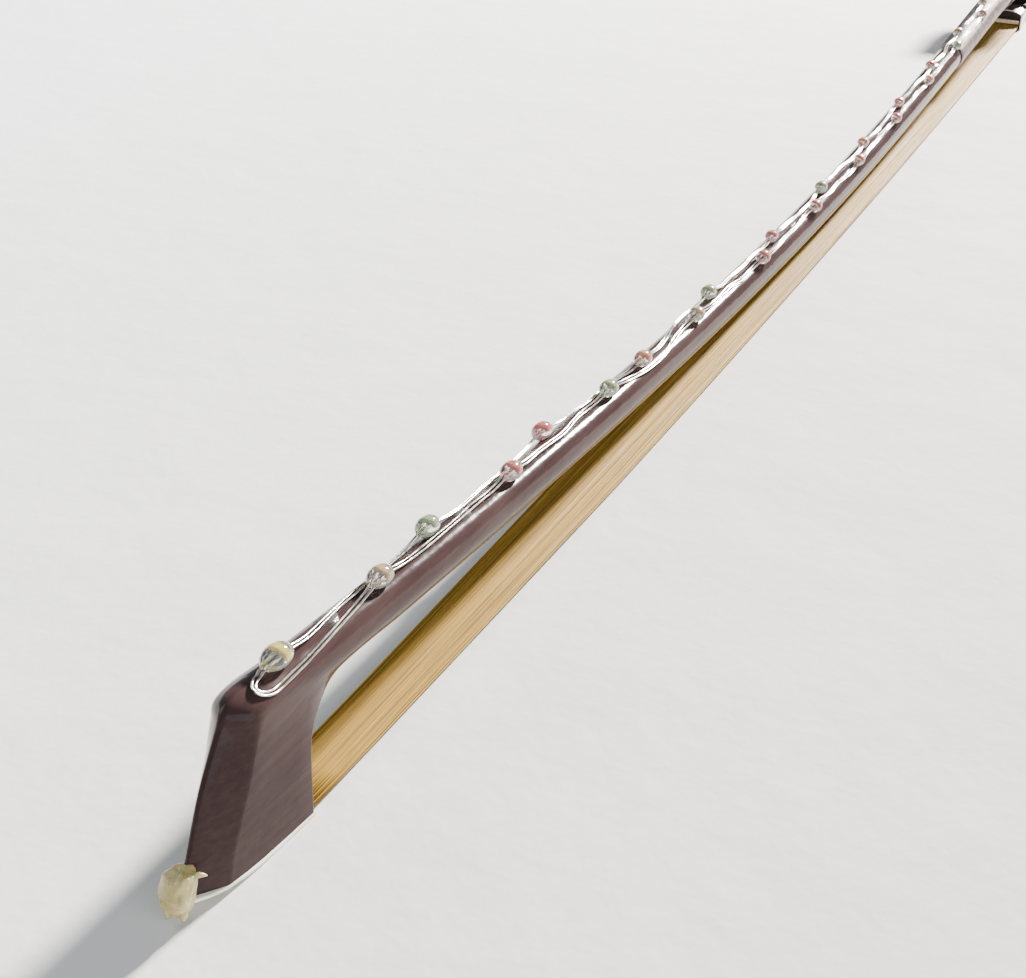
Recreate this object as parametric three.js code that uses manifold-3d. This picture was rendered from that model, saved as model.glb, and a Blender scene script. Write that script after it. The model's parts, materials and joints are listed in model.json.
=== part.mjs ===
// A cello bow, slack and standing hair down, with a folded string of LED lights along its stick.
// Millimetres. +X runs from the head to the screw button, +Z is up, Y is across the stick.
// Inside this file x = 0 is the rear lower corner of the head's tip plate and z = 0 is the table.
import * as THREE from 'three';
import { mergeVertices } from 'three/addons/utils/BufferGeometryUtils.js';
import Module from 'manifold-3d';

const wasm = await Module();
wasm.setup();

// ---------------------------------------------------------------- driving dimensions
const SEAM = 0.1; // gap between two pieces that are glued or pressed together
const RUNNING = 0.3; // gap between two pieces that move past each other

const HEAD_STICK_DIA = 7.9;
const HANDLE_STICK_DIA = 10.2; // across the flats of the octagon
const HANDLE_TILT = 0.05; // radians that the slack bow's handle rises towards the button
const HANDLE_X = 620; // where the frog starts
const HANDLE_Z = 22.3; // height of the stick's axis there
const HANDLE_LENGTH = 58; // stick behind HANDLE_X
// x and height of the stick's axis, along the camber
const CAMBER = [
  [-22, 25.2], [0, 22.8], [35, 19.4], [70, 16.5], [110, 13.6], [150, 11.3], [195, 9.4],
  [240, 8.4], [285, 8.1], [330, 8.6], [375, 9.9], [420, 11.8], [465, 14.1], [510, 16.7],
  [560, 19.8],
];

const PLATE_THICK = 0.7;
const LINER_THICK = 0.35;
const PLATE_HALF_WIDTH = 5.5;
const NOSE_X = -27.5;
const PLATE_LIFT_X = -9; // the plate curls up ahead of here
const PLATE_CURL = 0.0085;

const HAIR_THICK = 1;
const HAIR_FLOOR = 0.35; // lowest point of the hair at the head
const HAIR_HALF_TIP = 4.6;
const HAIR_HALF_FROG = 6.1;
const HAIR_SAG = -2.2; // the slack hair bows out sideways by this much at mid-length

const FROG_LENGTH = 49;
const FROG_HALF_WIDTH = 6.6;
const FERRULE_HALF_WIDTH = 7.2;
const FROG_FLOOR = -22.25; // below the stick's axis, in the handle's own frame

const SCREW_DIA = 3.4;
const BUTTON_LENGTH = 14;
const BUTTON_DIA = 10.6;

const WINDING_START = 481;
const WINDING_END = 587;
const WINDING_THICK = 0.6;
const OCTAGON_X = 588; // the stick is round ahead of here and octagonal behind
const LEATHER_START = 588.6;
const LEATHER_END = 618;
const LEATHER_THICK = 1;

const WIRE_DIA = 0.9; // the twin wire as one round cord
const BEAD_LENGTH = 5;
const BEAD_RADIUS = 1.6;
const WIRE_LIFT = 1.75; // height of the wire's centre over the wood
// dabs of clear glue between the string and the wood: where each one sits, and its size
const DAB_PLACES = [14, 58, 163, 262, 361, 452];
const DAB_SIZE = { halfLength: 2.6, halfWidth: 1.9, height: 0.95 };

const CASE_START = -2; // along the handle
const CASE_LENGTH = 44;
const CASE_WIDTH = 25;
const CASE_FLOOR = 6.7; // above the stick's axis
const CASE_HEIGHT = 11.6;
const WALL = 1.8;
const CELL_DIA = 20;
const CELL_THICK = 3.1;

const BUTTON_GAP = 0.3;

// ---------------------------------------------------------------- camber
const camberCurve = new THREE.CatmullRomCurve3(
  [
    ...CAMBER.map(([x, z]) => new THREE.Vector3(x, 0, z)),
    new THREE.Vector3(HANDLE_X - 3, 0, HANDLE_Z - 3 * HANDLE_TILT),
    new THREE.Vector3(HANDLE_X + 30, 0, HANDLE_Z + 30 * HANDLE_TILT),
    new THREE.Vector3(HANDLE_X + 60, 0, HANDLE_Z + 60 * HANDLE_TILT),
  ],
  false,
  'centripetal',
);
const camberSamples = camberCurve.getPoints(600);

// Height of the stick's axis at x.
function axisHeight(x) {
  if (x >= HANDLE_X) return HANDLE_Z + (x - HANDLE_X) * HANDLE_TILT;
  const next = camberSamples.findIndex((point) => point.x >= x);
  if (next <= 0) return camberSamples[0].z;
  const a = camberSamples[next - 1];
  const b = camberSamples[next];
  return a.z + ((b.z - a.z) * (x - a.x)) / (b.x - a.x);
}

// Radius of the round stick at x: it fills out from the head to the handle.
function stickRadius(x) {
  const t = THREE.MathUtils.clamp(x / HANDLE_X, 0, 1);
  return THREE.MathUtils.lerp(HEAD_STICK_DIA, HANDLE_STICK_DIA, t) / 2;
}

// ---------------------------------------------------------------- solids
function solidFrom(geometry) {
  const bare = new THREE.BufferGeometry();
  bare.setAttribute('position', geometry.getAttribute('position'));
  if (geometry.index) bare.setIndex(geometry.index);
  const merged = mergeVertices(bare, 1e-4);
  const triangles = [];
  for (let i = 0; i < merged.index.count; i += 3) {
    const [a, b, c] = [0, 1, 2].map((k) => merged.index.getX(i + k));
    if (a !== b && b !== c && c !== a) triangles.push(a, b, c);
  }
  return new wasm.Manifold(
    new wasm.Mesh({
      numProp: 3,
      vertProperties: Float32Array.from(merged.attributes.position.array),
      triVerts: Uint32Array.from(triangles),
    }),
  );
}

function geometryFrom(solid) {
  const mesh = solid.getMesh();
  const geometry = new THREE.BufferGeometry();
  geometry.setAttribute('position', new THREE.BufferAttribute(mesh.vertProperties, 3));
  geometry.setIndex(new THREE.BufferAttribute(mesh.triVerts, 1));
  geometry.computeVertexNormals();
  return geometry;
}

// A box from its lowest corner to its highest corner.
function boxBetween(low, high) {
  const size = high.map((value, k) => value - low[k]);
  const centre = high.map((value, k) => (value + low[k]) / 2);
  return solidFrom(new THREE.BoxGeometry(...size).translate(...centre));
}

// A cylinder along X, from x = start to x = end.
function rodAlongX(start, end, radius, y, z, sides = 20) {
  const rod = new THREE.CylinderGeometry(radius, radius, end - start, sides);
  return solidFrom(rod.rotateZ(-Math.PI / 2).translate((start + end) / 2, y, z));
}

// A cylinder along Y or Z.
function rodAlongY(start, end, radius, x, z, sides = 20) {
  const rod = new THREE.CylinderGeometry(radius, radius, end - start, sides);
  return solidFrom(rod.translate(x, (start + end) / 2, z));
}

function rodAlongZ(start, end, radius, x, y, sides = 20) {
  const rod = new THREE.CylinderGeometry(radius, radius, end - start, sides);
  return solidFrom(rod.rotateX(Math.PI / 2).translate(x, y, (start + end) / 2));
}

// A side profile drawn in x and z, extruded across Y between two values.
function profileAcrossY(shape, low, high, curveSegments = 6) {
  const options = { depth: high - low, bevelEnabled: false, curveSegments };
  const slab = new THREE.ExtrudeGeometry(shape, options);
  return solidFrom(slab.rotateX(Math.PI / 2).translate(0, high, 0));
}

// A cross-section drawn in y and z, extruded along X between two values.
function sectionAlongX(shape, start, end, curveSegments = 6) {
  const options = { depth: end - start, bevelEnabled: false, curveSegments };
  const bar = new THREE.ExtrudeGeometry(shape, options);
  bar.applyMatrix4(new THREE.Matrix4().set(0, 0, 1, start, 1, 0, 0, 0, 0, 1, 0, 0, 0, 0, 0, 1));
  return solidFrom(bar);
}

// A plan outline drawn in x and y, extruded up Z between two values.
function planAlongZ(shape, low, high, curveSegments = 6) {
  const options = { depth: high - low, bevelEnabled: false, curveSegments };
  return solidFrom(new THREE.ExtrudeGeometry(shape, options).translate(0, 0, low));
}

// A profile of [radius, x] points spun about the X axis, then bent along the camber.
function spunAlongStick(profile, sides) {
  const points = profile.map(([radius, x]) => new THREE.Vector2(radius, x));
  const spun = new THREE.LatheGeometry(points, sides).rotateZ(-Math.PI / 2);
  const place = spun.getAttribute('position');
  for (let i = 0; i < place.count; i += 1) {
    const x = place.getX(i);
    const grow = x > OCTAGON_X ? octagonReach(place.getY(i), place.getZ(i)) : 1;
    place.setY(i, place.getY(i) * grow);
    place.setZ(i, place.getZ(i) * grow + axisHeight(x));
  }
  return solidFrom(spun);
}

// How far a point of a circle moves out to reach the octagon drawn round that circle.
function octagonReach(y, z) {
  if (Math.hypot(y, z) < 0.01) return 1;
  const eighth = Math.PI / 4;
  const angle = Math.atan2(z, y);
  const offFlat = angle - eighth * Math.round(angle / eighth);
  return 1 / Math.cos(offFlat);
}

function spread(start, end, count) {
  return Array.from({ length: count + 1 }, (_, k) => start + ((end - start) * k) / count);
}

// ---------------------------------------------------------------- scene graph helpers
const bow = new THREE.Group();
const handle = new THREE.Group();
handle.position.set(HANDLE_X, 0, HANDLE_Z);
handle.rotation.y = -HANDLE_TILT;
bow.add(handle);
handle.updateMatrix();

function finish(color, roughness, metalness = 0, opacity = 1) {
  const transparent = opacity < 1;
  return new THREE.MeshStandardMaterial({ color, roughness, metalness, opacity, transparent });
}

const LOOKS = {
  wood: () => finish(0x3f262b, 0.3),
  ebony: () => finish(0x151213, 0.35),
  bone: () => finish(0xeae3cf, 0.4),
  glue: () => finish(0xe9dfa6, 0.3),
  hair: () => finish(0xd9b877, 0.6),
  silver: () => finish(0xc9c9cc, 0.25, 1),
  brass: () => finish(0xc2a24e, 0.3, 1),
  steel: () => finish(0x9a9ca0, 0.3, 1),
  pearl: () => finish(0xe6e8e6, 0.2),
  leather: () => finish(0x1d1a19, 0.6),
  maple: () => finish(0xd8c096, 0.6),
  thread: () => finish(0x7c1f1c, 0.7),
  epoxy: () => finish(0xdfe6d8, 0.05, 0, 0.5),
  plastic: () => finish(0xdcdedd, 0.35),
  foam: () => finish(0xf0efe9, 0.9),
  board: () => finish(0x1f5a34, 0.4),
};

function place(parent, name, solid, look) {
  const mesh = new THREE.Mesh(geometryFrom(solid), LOOKS[look]());
  mesh.name = name;
  parent.add(mesh);
}

// ---------------------------------------------------------------- head
// Height of the tip plate's underside at x: flat, then curling up towards the nose.
function plateUnderside(x) {
  const ahead = Math.max(0, PLATE_LIFT_X - x);
  return PLATE_CURL * ahead * ahead;
}

// Side outline of a layer that follows the plate's underside, between two offsets.
function curledLayer(low, high, front, rear) {
  const shape = new THREE.Shape();
  const stations = spread(rear, front, 9);
  shape.moveTo(rear, plateUnderside(rear) + low);
  stations.slice(1).forEach((x) => shape.lineTo(x, plateUnderside(x) + low));
  stations.reverse().forEach((x) => shape.lineTo(x, plateUnderside(x) + high));
  return shape;
}

// The mirrored plan outline of the tip plate, pinched in by inset on each side.
function platePlan(front, rear, inset) {
  const half = PLATE_HALF_WIDTH - inset;
  const shape = new THREE.Shape();
  shape.moveTo(rear, -half);
  shape.lineTo(rear, half);
  shape.lineTo(-8, half - 0.35);
  shape.quadraticCurveTo(-17, half - 1.3, -22, half - 3.1);
  shape.quadraticCurveTo(front + 1, 1.2, front, 0);
  shape.quadraticCurveTo(front + 1, -1.2, -22, -half + 3.1);
  shape.quadraticCurveTo(-17, -half + 1.3, -8, -half + 0.35);
  return shape;
}

// Wood of the head seen from the side, up to the stick's axis.
function headProfile() {
  const low = PLATE_THICK + LINER_THICK + 2 * SEAM;
  const shape = new THREE.Shape();
  shape.moveTo(0.7, low);
  shape.lineTo(1.3, 9.5);
  shape.quadraticCurveTo(1.6, 17.6, 9, axisHeight(9) - stickRadius(9) + 0.5);
  shape.lineTo(14, axisHeight(14));
  shape.lineTo(-12.5, axisHeight(-12.5));
  shape.lineTo(-19.5, 16);
  shape.quadraticCurveTo(-23, 9.5, -24.6, plateUnderside(-24.6) + low);
  spread(-22, 0.7, 7).forEach((x) => shape.lineTo(x, plateUnderside(x) + low));
  return shape;
}

// The space that the head's side faces, front chamfers and front ridge enclose.
function headEnvelope() {
  const height = 34;
  const shape = new THREE.Shape();
  shape.moveTo(0, 0.3);
  [1, 2, 3].forEach((station) => shape.lineTo(station, station));
  [3, 2, 1].forEach((station) => shape.lineTo(station, -station));
  shape.lineTo(0, -0.3);
  const block = new THREE.ExtrudeGeometry(shape, { depth: height, steps: 11, bevelEnabled: false });
  const spot = block.getAttribute('position');
  for (let i = 0; i < spot.count; i += 1) {
    const side = Math.sign(spot.getY(i));
    const station = Math.round(Math.abs(spot.getY(i)));
    const z = spot.getZ(i);
    spot.setXY(i, envelopeX(station, z), side * envelopeY(station, z));
  }
  return solidFrom(block);
}

// Stations of the head's envelope: 0 ridge, 1 chamfer edge, 2 rear of the side face, 3 far down the stick.
function envelopeX(station, height) {
  const ridge = -25.8 + 0.5 * height - 0.0004 * height ** 2;
  const chamferDepth = 6.4 - 0.2 * Math.max(0, height - 8);
  return [ridge, ridge + Math.max(chamferDepth, 1.6), 1, 40][station];
}

function envelopeY(station, height) {
  const up = THREE.MathUtils.clamp(height / 20, 0, 1);
  const ridge = 0.45;
  const chamfer = THREE.MathUtils.lerp(3.5, 4, up);
  const rear = THREE.MathUtils.lerp(PLATE_HALF_WIDTH, 4.1, up ** 0.8);
  return [ridge, chamfer, rear, 6][station];
}

// Pocket in the head for the hair's knot and plug.
const TIP_POCKET = { front: -13, rear: -4, half: 3.1, top: 10 };

function tipPocket() {
  const { front, rear, half, top } = TIP_POCKET;
  return boxBetween([front, -half, -1], [rear, half, top]);
}

// The notch at the plate's rear through which the hair leaves the pocket.
function hairNotch() {
  const half = HAIR_HALF_TIP + RUNNING;
  const top = HAIR_FLOOR + HAIR_THICK + RUNNING;
  return boxBetween([TIP_POCKET.rear - 1, -half, -1], [4, half, top + 0.4]);
}

// ---------------------------------------------------------------- stick
const toHandle = handle.matrix;

function inHandle(geometrySolid) {
  const geometry = geometryFrom(geometrySolid).applyMatrix4(toHandle);
  return solidFrom(geometry);
}

function stick() {
  const handleEnd = HANDLE_X + HANDLE_LENGTH;
  const front = [[0, -20], [3.2, -19.6], [3.75, -18.4], [stickRadius(0), -16]];
  const body = [...spread(-10, OCTAGON_X - 0.2, 42), ...spread(OCTAGON_X + 0.2, handleEnd - 1, 3)];
  const profile = [
    ...front,
    ...body.map((x) => [stickRadius(x), x]),
    [stickRadius(HANDLE_X) - 0.5, handleEnd],
    [0, handleEnd],
  ];
  const wood = spunAlongStick(profile, 16);
  const head = profileAcrossY(headProfile(), -7, 7);
  const envelope = headEnvelope();
  const restOfStick = boxBetween([40, -8, 0], [HANDLE_X + 80, 8, 60]);
  const bore = inHandle(rodAlongX(-14, HANDLE_LENGTH + 2, SCREW_DIA / 2 + RUNNING, 0, 0));
  const slot = inHandle(boxBetween([8, -2.4, -9], [36, 2.4, 2.6]));
  const shaped = wood.add(head).intersect(envelope.add(restOfStick));
  return shaped.subtract(tipPocket()).subtract(bore).subtract(slot).subtract(hairNotch());
}

function tipPlate() {
  const layer = profileAcrossY(curledLayer(0, PLATE_THICK, NOSE_X, 0.8), -7, 7);
  const plan = planAlongZ(platePlan(NOSE_X + 0.1, 0.8, 0), -1, 9);
  return layer.intersect(plan).subtract(tipPocket()).subtract(hairNotch());
}

function tipLiner() {
  const low = PLATE_THICK + SEAM;
  const layer = profileAcrossY(curledLayer(low, low + LINER_THICK, -25.4, 0.7), -7, 7);
  const plan = planAlongZ(platePlan(-25.2, 0.7, 0.15), -1, 9);
  return layer.intersect(plan).subtract(tipPocket()).subtract(hairNotch());
}

// The broken nose is capped by a rounded lump of set glue, in front of the wood and over the plate.
function noseGlue() {
  const lump = new THREE.SphereGeometry(1, 14, 10);
  lump.scale(3.6, 2.9, 4.3).rotateY(0.35).translate(-26.2, 0, 5.6);
  const wood = headEnvelope().intersect(profileAcrossY(headProfile(), -7, 7));
  const plate = profileAcrossY(curledLayer(-6, PLATE_THICK + 0.2, -40, 3), -8, 8);
  const liner = profileAcrossY(curledLayer(-6, 2.1, -26, 3), -8, 8);
  const behind = boxBetween([-24.3, -9, -2], [0, 9, 20]);
  return solidFrom(lump).subtract(plate).subtract(liner).subtract(wood).subtract(behind);
}

function tipPlug() {
  const { front, rear, half } = TIP_POCKET;
  const block = boxBetween([front + SEAM, -half + SEAM, 0.1], [rear - 3, half - SEAM, 7.5]);
  return block.subtract(hairNotch());
}

function tipKnot() {
  const { front, rear, half } = TIP_POCKET;
  const middle = (front + rear) / 2 + 1;
  return rodAlongY(-half + 0.4, half - 0.4, 0.95, middle, 8.7, 12);
}

// ---------------------------------------------------------------- hair
// Plan outline of the ribbon between two stations, fanning out towards the frog.
function hairRibbon() {
  const start = new THREE.Vector3(TIP_POCKET.rear - 0.4, 0, HAIR_FLOOR);
  const end = new THREE.Vector3(5, 0, FROG_FLOOR + 1).applyMatrix4(toHandle);
  const span = new THREE.BoxGeometry(1, 1, 1, 24, 2, 1);
  const spot = span.getAttribute('position');
  for (let i = 0; i < spot.count; i += 1) {
    const t = spot.getX(i) + 0.5;
    const half = THREE.MathUtils.lerp(HAIR_HALF_TIP, HAIR_HALF_FROG, Math.min(1, t * 5));
    const floor = THREE.MathUtils.lerp(start.z, end.z, t);
    spot.setX(i, THREE.MathUtils.lerp(start.x, end.x, t));
    spot.setY(i, spot.getY(i) * 2 * half + HAIR_SAG * Math.sin(Math.PI * t));
    spot.setZ(i, floor + (spot.getZ(i) + 0.5) * HAIR_THICK);
  }
  const inPocket = boxBetween([-6.7, -2.8, 0.4], [TIP_POCKET.rear - 0.3, 2.8, 7.4]);
  const underWedge = boxBetween([4, -4.2, FROG_FLOOR + 1], [12.2, 4.2, FROG_FLOOR + 2]);
  const riser = boxBetween([11, -4.1, FROG_FLOOR + 1], [12.2, 4.1, FROG_FLOOR + 4.1]);
  const overSlide = boxBetween([11, -4.1, FROG_FLOOR + 3.2], [29, 4.1, FROG_FLOOR + 4.1]);
  return solidFrom(span).add(inPocket).add(inHandle(underWedge.add(riser).add(overSlide)));
}

// ---------------------------------------------------------------- grip
function gripSleeve(start, end, thick, rows) {
  const outer = spread(start, end, rows).map((x) => [stickRadius(x) + SEAM + thick, x]);
  const inner = spread(end, start, rows).map((x) => [stickRadius(x) + SEAM, x]);
  return spunAlongStick([...outer, ...inner, outer[0]], 16);
}

// ---------------------------------------------------------------- light string
// Angle round the stick, in degrees towards -Y, of each lane of the string at x.
const LANE_A = [[-4, 15], [8, 15], [30, -15], [49, -15], [77, -20], [98, -25], [125, -17], [147, 8],
  [175, -14], [547, -14]];
const LANE_B = [[-4, 40], [8, 42], [29, 15], [49, 14], [77, 10], [125, 8], [147, 36], [175, 14],
  [574, 14]];

function laneAngle(lane, x) {
  const next = lane.findIndex(([at]) => at >= x);
  if (next <= 0) return lane[next === 0 ? 0 : lane.length - 1][1];
  const [x0, a0] = lane[next - 1];
  const [x1, a1] = lane[next];
  const t = THREE.MathUtils.smoothstep(x, x0, x1);
  return THREE.MathUtils.lerp(a0, a1, t);
}

// A point over the stick at x, at an angle round it and a height over the wood.
function overStick(x, degrees, lift) {
  const angle = THREE.MathUtils.degToRad(degrees);
  const reach = stickRadius(x) + lift;
  return new THREE.Vector3(x, -reach * Math.sin(angle), axisHeight(x) + reach * Math.cos(angle));
}

function cordThrough(points, steps, radius) {
  const curve = new THREE.CatmullRomCurve3(points, false, 'centripetal');
  const section = new THREE.Shape().absarc(0, 0, radius, 0, Math.PI * 2);
  const options = { steps, extrudePath: curve, curveSegments: 4, bevelEnabled: false };
  return solidFrom(new THREE.ExtrudeGeometry(section, options));
}

function laneCord(lane, radius) {
  const first = lane[0][0];
  const last = lane[lane.length - 1][0];
  const stations = [...spread(first, 180, 12), ...spread(180, last, 10).slice(1)];
  const points = stations.map((x) => overStick(x, laneAngle(lane, x), WIRE_LIFT));
  return cordThrough(points, 30, radius);
}

// A turn of the string over the stick, from one lane to another, bulging by reach along x.
function laneTurn(x, from, to, reach, radius) {
  const points = spread(0, 1, 8).map((t) => {
    const bulge = reach * Math.sin(Math.PI * t);
    const angle = THREE.MathUtils.lerp(from, to, (1 - Math.cos(Math.PI * t)) / 2);
    return overStick(x + bulge, angle, WIRE_LIFT);
  });
  points.unshift(overStick(x - Math.sign(reach) * 0.4, from, WIRE_LIFT));
  points.push(overStick(x - Math.sign(reach) * 0.4, to, WIRE_LIFT));
  return cordThrough(points, 14, radius);
}

function lightCord(radius) {
  const lead = [
    overStick(573, 14, WIRE_LIFT), overStick(589, 9, WIRE_LIFT + 0.3),
    overStick(604, 3, WIRE_LIFT + 1.4), overStick(612, 0, 4.4), overStick(617.3, 0, 4.9),
  ];
  return laneCord(LANE_A, radius)
    .add(laneCord(LANE_B, radius))
    .add(laneTurn(-4, 15, 40, -3.4, radius))
    .add(cordThrough(lead, 12, radius));
}

// A drop of clear resin cast round one lamp, with a channel for the wires.
function lampBead(lane, x, cordSpace) {
  const half = BEAD_LENGTH / 2;
  const outline = [
    [0, -half], [0.8, -half + 0.4], [1.4, -1], [BEAD_RADIUS, 0.4], [1.1, half - 0.6], [0, half],
  ];
  const points = outline.map(([radius, at]) => new THREE.Vector2(radius, at));
  const drop = new THREE.LatheGeometry(points, 10).rotateZ(-Math.PI / 2);
  const slope = (axisHeight(x + 2) - axisHeight(x - 2)) / 4;
  const centre = overStick(x, laneAngle(lane, x), WIRE_LIFT);
  drop.rotateY(-slope).translate(centre.x, centre.y, centre.z);
  const channel = cordSpace.intersect(boxBetween([x - 6, -15, 0], [x + 6, 15, 50]));
  const pieces = solidFrom(drop).subtract(channel).decompose();
  return pieces.sort((a, b) => b.volume() - a.volume())[0];
}

// The lamps nearest the head: each has its lane and its place along the stick.
const LAMPS = [
  [LANE_A, 0], [LANE_B, 29], [LANE_A, 49], [LANE_B, 77], [LANE_A, 98], [LANE_B, 125],
  [LANE_A, 145], [LANE_B, 179], [LANE_A, 195], [LANE_B, 229],
];

// A low dab of set glue on top of the stick at x, hollowed below to the round of the wood.
function glueDab(x) {
  const { halfLength, halfWidth, height } = DAB_SIZE;
  const radius = stickRadius(x);
  const sunk = 0.35;
  const dab = new THREE.SphereGeometry(1, 12, 8);
  dab.scale(halfLength, halfWidth, height + sunk).translate(0, 0, radius - sunk);
  const wood = rodAlongX(-5, 5, radius + SEAM, 0, 0, 32);
  const slope = (axisHeight(x + 2) - axisHeight(x - 2)) / 4;
  const cut = geometryFrom(solidFrom(dab).subtract(wood));
  return solidFrom(cut.rotateY(-Math.atan(slope)).translate(x, 0, axisHeight(x)));
}

// ---------------------------------------------------------------- frog, in the handle's own frame
const FROG_TOP = -1.2;
const FERRULE_END = 12.2;
const FERRULE_WALL = 0.55;
const UNDERSLIDE_START = 12.6;
const FROG_POCKET = { front: 17, rear: 31, half: 4.4 };
const SLIDE_THICK = 1.9;
const PEARL_THICK = 1;
const HEEL_THICK = 0.8;

function frogProfile() {
  const floor = FROG_FLOOR + PEARL_THICK + SLIDE_THICK + 2 * SEAM;
  const end = FROG_LENGTH - HEEL_THICK - SEAM;
  const shape = new THREE.Shape();
  shape.moveTo(end, FROG_TOP);
  shape.lineTo(8.6, FROG_TOP);
  shape.lineTo(8, -5.4);
  shape.quadraticCurveTo(17.4, -6.2, 17.2, -10.4);
  shape.quadraticCurveTo(17, -13.2, 12.6, -13.2);
  shape.lineTo(2, -13.2);
  shape.lineTo(2, -18);
  shape.lineTo(UNDERSLIDE_START - SEAM, -18);
  shape.lineTo(UNDERSLIDE_START - SEAM, floor);
  shape.lineTo(38.4, floor);
  shape.lineTo(38.4, FROG_FLOOR + HEEL_THICK + SEAM);
  shape.lineTo(end, FROG_FLOOR + HEEL_THICK + SEAM);
  return shape;
}

// The frog's saddle: the space of the octagonal stick and its running gap.
function stickSpace(start, end) {
  const shape = new THREE.Shape();
  const flat = HANDLE_STICK_DIA / 2 + RUNNING;
  const corner = flat / Math.cos(Math.PI / 8);
  for (let k = 0; k < 8; k += 1) {
    const angle = Math.PI / 8 + (k * Math.PI) / 4;
    const move = k === 0 ? 'moveTo' : 'lineTo';
    shape[move](corner * Math.cos(angle), corner * Math.sin(angle));
  }
  return sectionAlongX(shape, start, end);
}

function frogBlock() {
  const waist = new THREE.Shape();
  waist.moveTo(-FROG_HALF_WIDTH, -40);
  waist.lineTo(FROG_HALF_WIDTH, -40);
  waist.lineTo(FROG_HALF_WIDTH, -14);
  waist.quadraticCurveTo(5.6, -9, 5.5, FROG_TOP + 1);
  waist.lineTo(-5.5, FROG_TOP + 1);
  waist.quadraticCurveTo(-5.6, -9, -FROG_HALF_WIDTH, -14);
  const aroundTongue = boxBetween([0, -9, -30], [FERRULE_END + SEAM, 9, -13])
    .subtract(sectionAlongX(ferruleOutline(FERRULE_WALL + SEAM), 1, FERRULE_END + 1));
  const { front, rear, half } = FROG_POCKET;
  const eye = RUNNING + 3.9;
  return profileAcrossY(frogProfile(), -9, 9)
    .intersect(sectionAlongX(waist, -1, 60))
    .subtract(aroundTongue)
    .subtract(stickSpace(-2, 60))
    .subtract(boxBetween([front, -half, -30], [rear, half, -12.4]))
    .subtract(boxBetween([11, -half, -30], [front + 1, half, -17.9]))
    .subtract(rodAlongZ(-12, 0, 1.6, 22, 0, 12))
    .subtract(rodAlongY(5.2, 9, eye, 27, -12.4, 24))
    .subtract(rodAlongY(-9, -5.2, eye, 27, -12.4, 24));
}

// The plate under the frog that closes its pocket, with the pearl let into its face.
function underslide() {
  const top = FROG_FLOOR + PEARL_THICK + SLIDE_THICK + SEAM;
  const low = FROG_FLOOR + 0.05;
  const pocket = boxBetween(
    [UNDERSLIDE_START + 1.2, -5.2, low - 1], [37.2, 5.2, FROG_FLOOR + PEARL_THICK + SEAM],
  );
  const plate = boxBetween([UNDERSLIDE_START, -FROG_HALF_WIDTH, low], [38.2, FROG_HALF_WIDTH, top]);
  return plate.subtract(pocket);
}

function pearlSlide() {
  const low = FROG_FLOOR + 0.05;
  return boxBetween([UNDERSLIDE_START + 1.3, -5.1, low], [37.1, 5.1, FROG_FLOOR + PEARL_THICK]);
}

// The D-shaped silver ferrule, flat below and arched above.
function ferruleOutline(inset) {
  const half = FERRULE_HALF_WIDTH - inset;
  const floor = FROG_FLOOR + inset;
  const shape = new THREE.Shape();
  shape.moveTo(-half, floor);
  shape.lineTo(half, floor);
  shape.lineTo(half, -16.2);
  shape.quadraticCurveTo(half - 0.4, -13.6 - inset, 0, -13.3 - inset);
  shape.quadraticCurveTo(-half + 0.4, -13.6 - inset, -half, -16.2);
  return shape;
}

function ferrule() {
  const outer = sectionAlongX(ferruleOutline(0), 0, FERRULE_END);
  return outer.subtract(sectionAlongX(ferruleOutline(FERRULE_WALL), -1, FERRULE_END + 1));
}

function spreadWedge() {
  return boxBetween([1.4, -5.8, FROG_FLOOR + 2.3], [10.4, 5.8, -18.3]);
}

function frogKnot() {
  return rodAlongY(-3.6, 3.6, 1.3, 27.8, -16.2, 12);
}

function frogPlug() {
  const { front, half } = FROG_POCKET;
  return boxBetween([front + 0.3, -half + 0.3, -17.8], [26, half - 0.3, -13.2]);
}

// The L-shaped silver plate round the frog's heel.
function heelPlate() {
  const shape = new THREE.Shape();
  const end = FROG_LENGTH;
  shape.moveTo(38.5, FROG_FLOOR);
  shape.lineTo(end, FROG_FLOOR);
  shape.lineTo(end, -6.8);
  shape.lineTo(end - HEEL_THICK, -6.8);
  shape.lineTo(end - HEEL_THICK, FROG_FLOOR + HEEL_THICK);
  shape.lineTo(38.5, FROG_FLOOR + HEEL_THICK);
  return profileAcrossY(shape, -FROG_HALF_WIDTH + 0.3, FROG_HALF_WIDTH - 0.3)
    .subtract(rodAlongZ(-30, -10, 0.9, 44, 0, 10));
}

function heelPin() {
  return rodAlongZ(FROG_FLOOR, FROG_FLOOR + HEEL_THICK, 0.75, 44, 0, 10);
}

function eyeRing(side) {
  const low = side > 0 ? 5.5 : -6.5;
  return rodAlongY(low, low + 1, 3.8, 27, -12.4, 24)
    .subtract(rodAlongY(low - 1, low + 2, 3, 27, -12.4, 24));
}

function eyePearl(side) {
  const low = side > 0 ? 5.5 : -6.4;
  return rodAlongY(low, low + 0.9, 2.85, 27, -12.4, 24);
}

// The brass nut that the screw draws back, on its post in the frog.
function eyelet() {
  return boxBetween([18.4, -2, -3.6], [25.6, 2, 2.2])
    .add(rodAlongZ(-11.6, -3.4, 1.35, 22, 0, 12))
    .subtract(rodAlongX(10, 34, SCREW_DIA / 2 + 0.25, 0, 0, 16));
}

// ---------------------------------------------------------------- screw and button
const BUTTON_START = HANDLE_LENGTH + BUTTON_GAP;
const RING_WIDTH = 2.6;

function screwRod() {
  const shank = rodAlongX(-10, BUTTON_START + 5, SCREW_DIA / 2, 0, 0, 16);
  return shank.add(rodAlongX(BUTTON_START + 3.2, BUTTON_START + 9, 1.4, 0, 0, 16));
}

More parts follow.
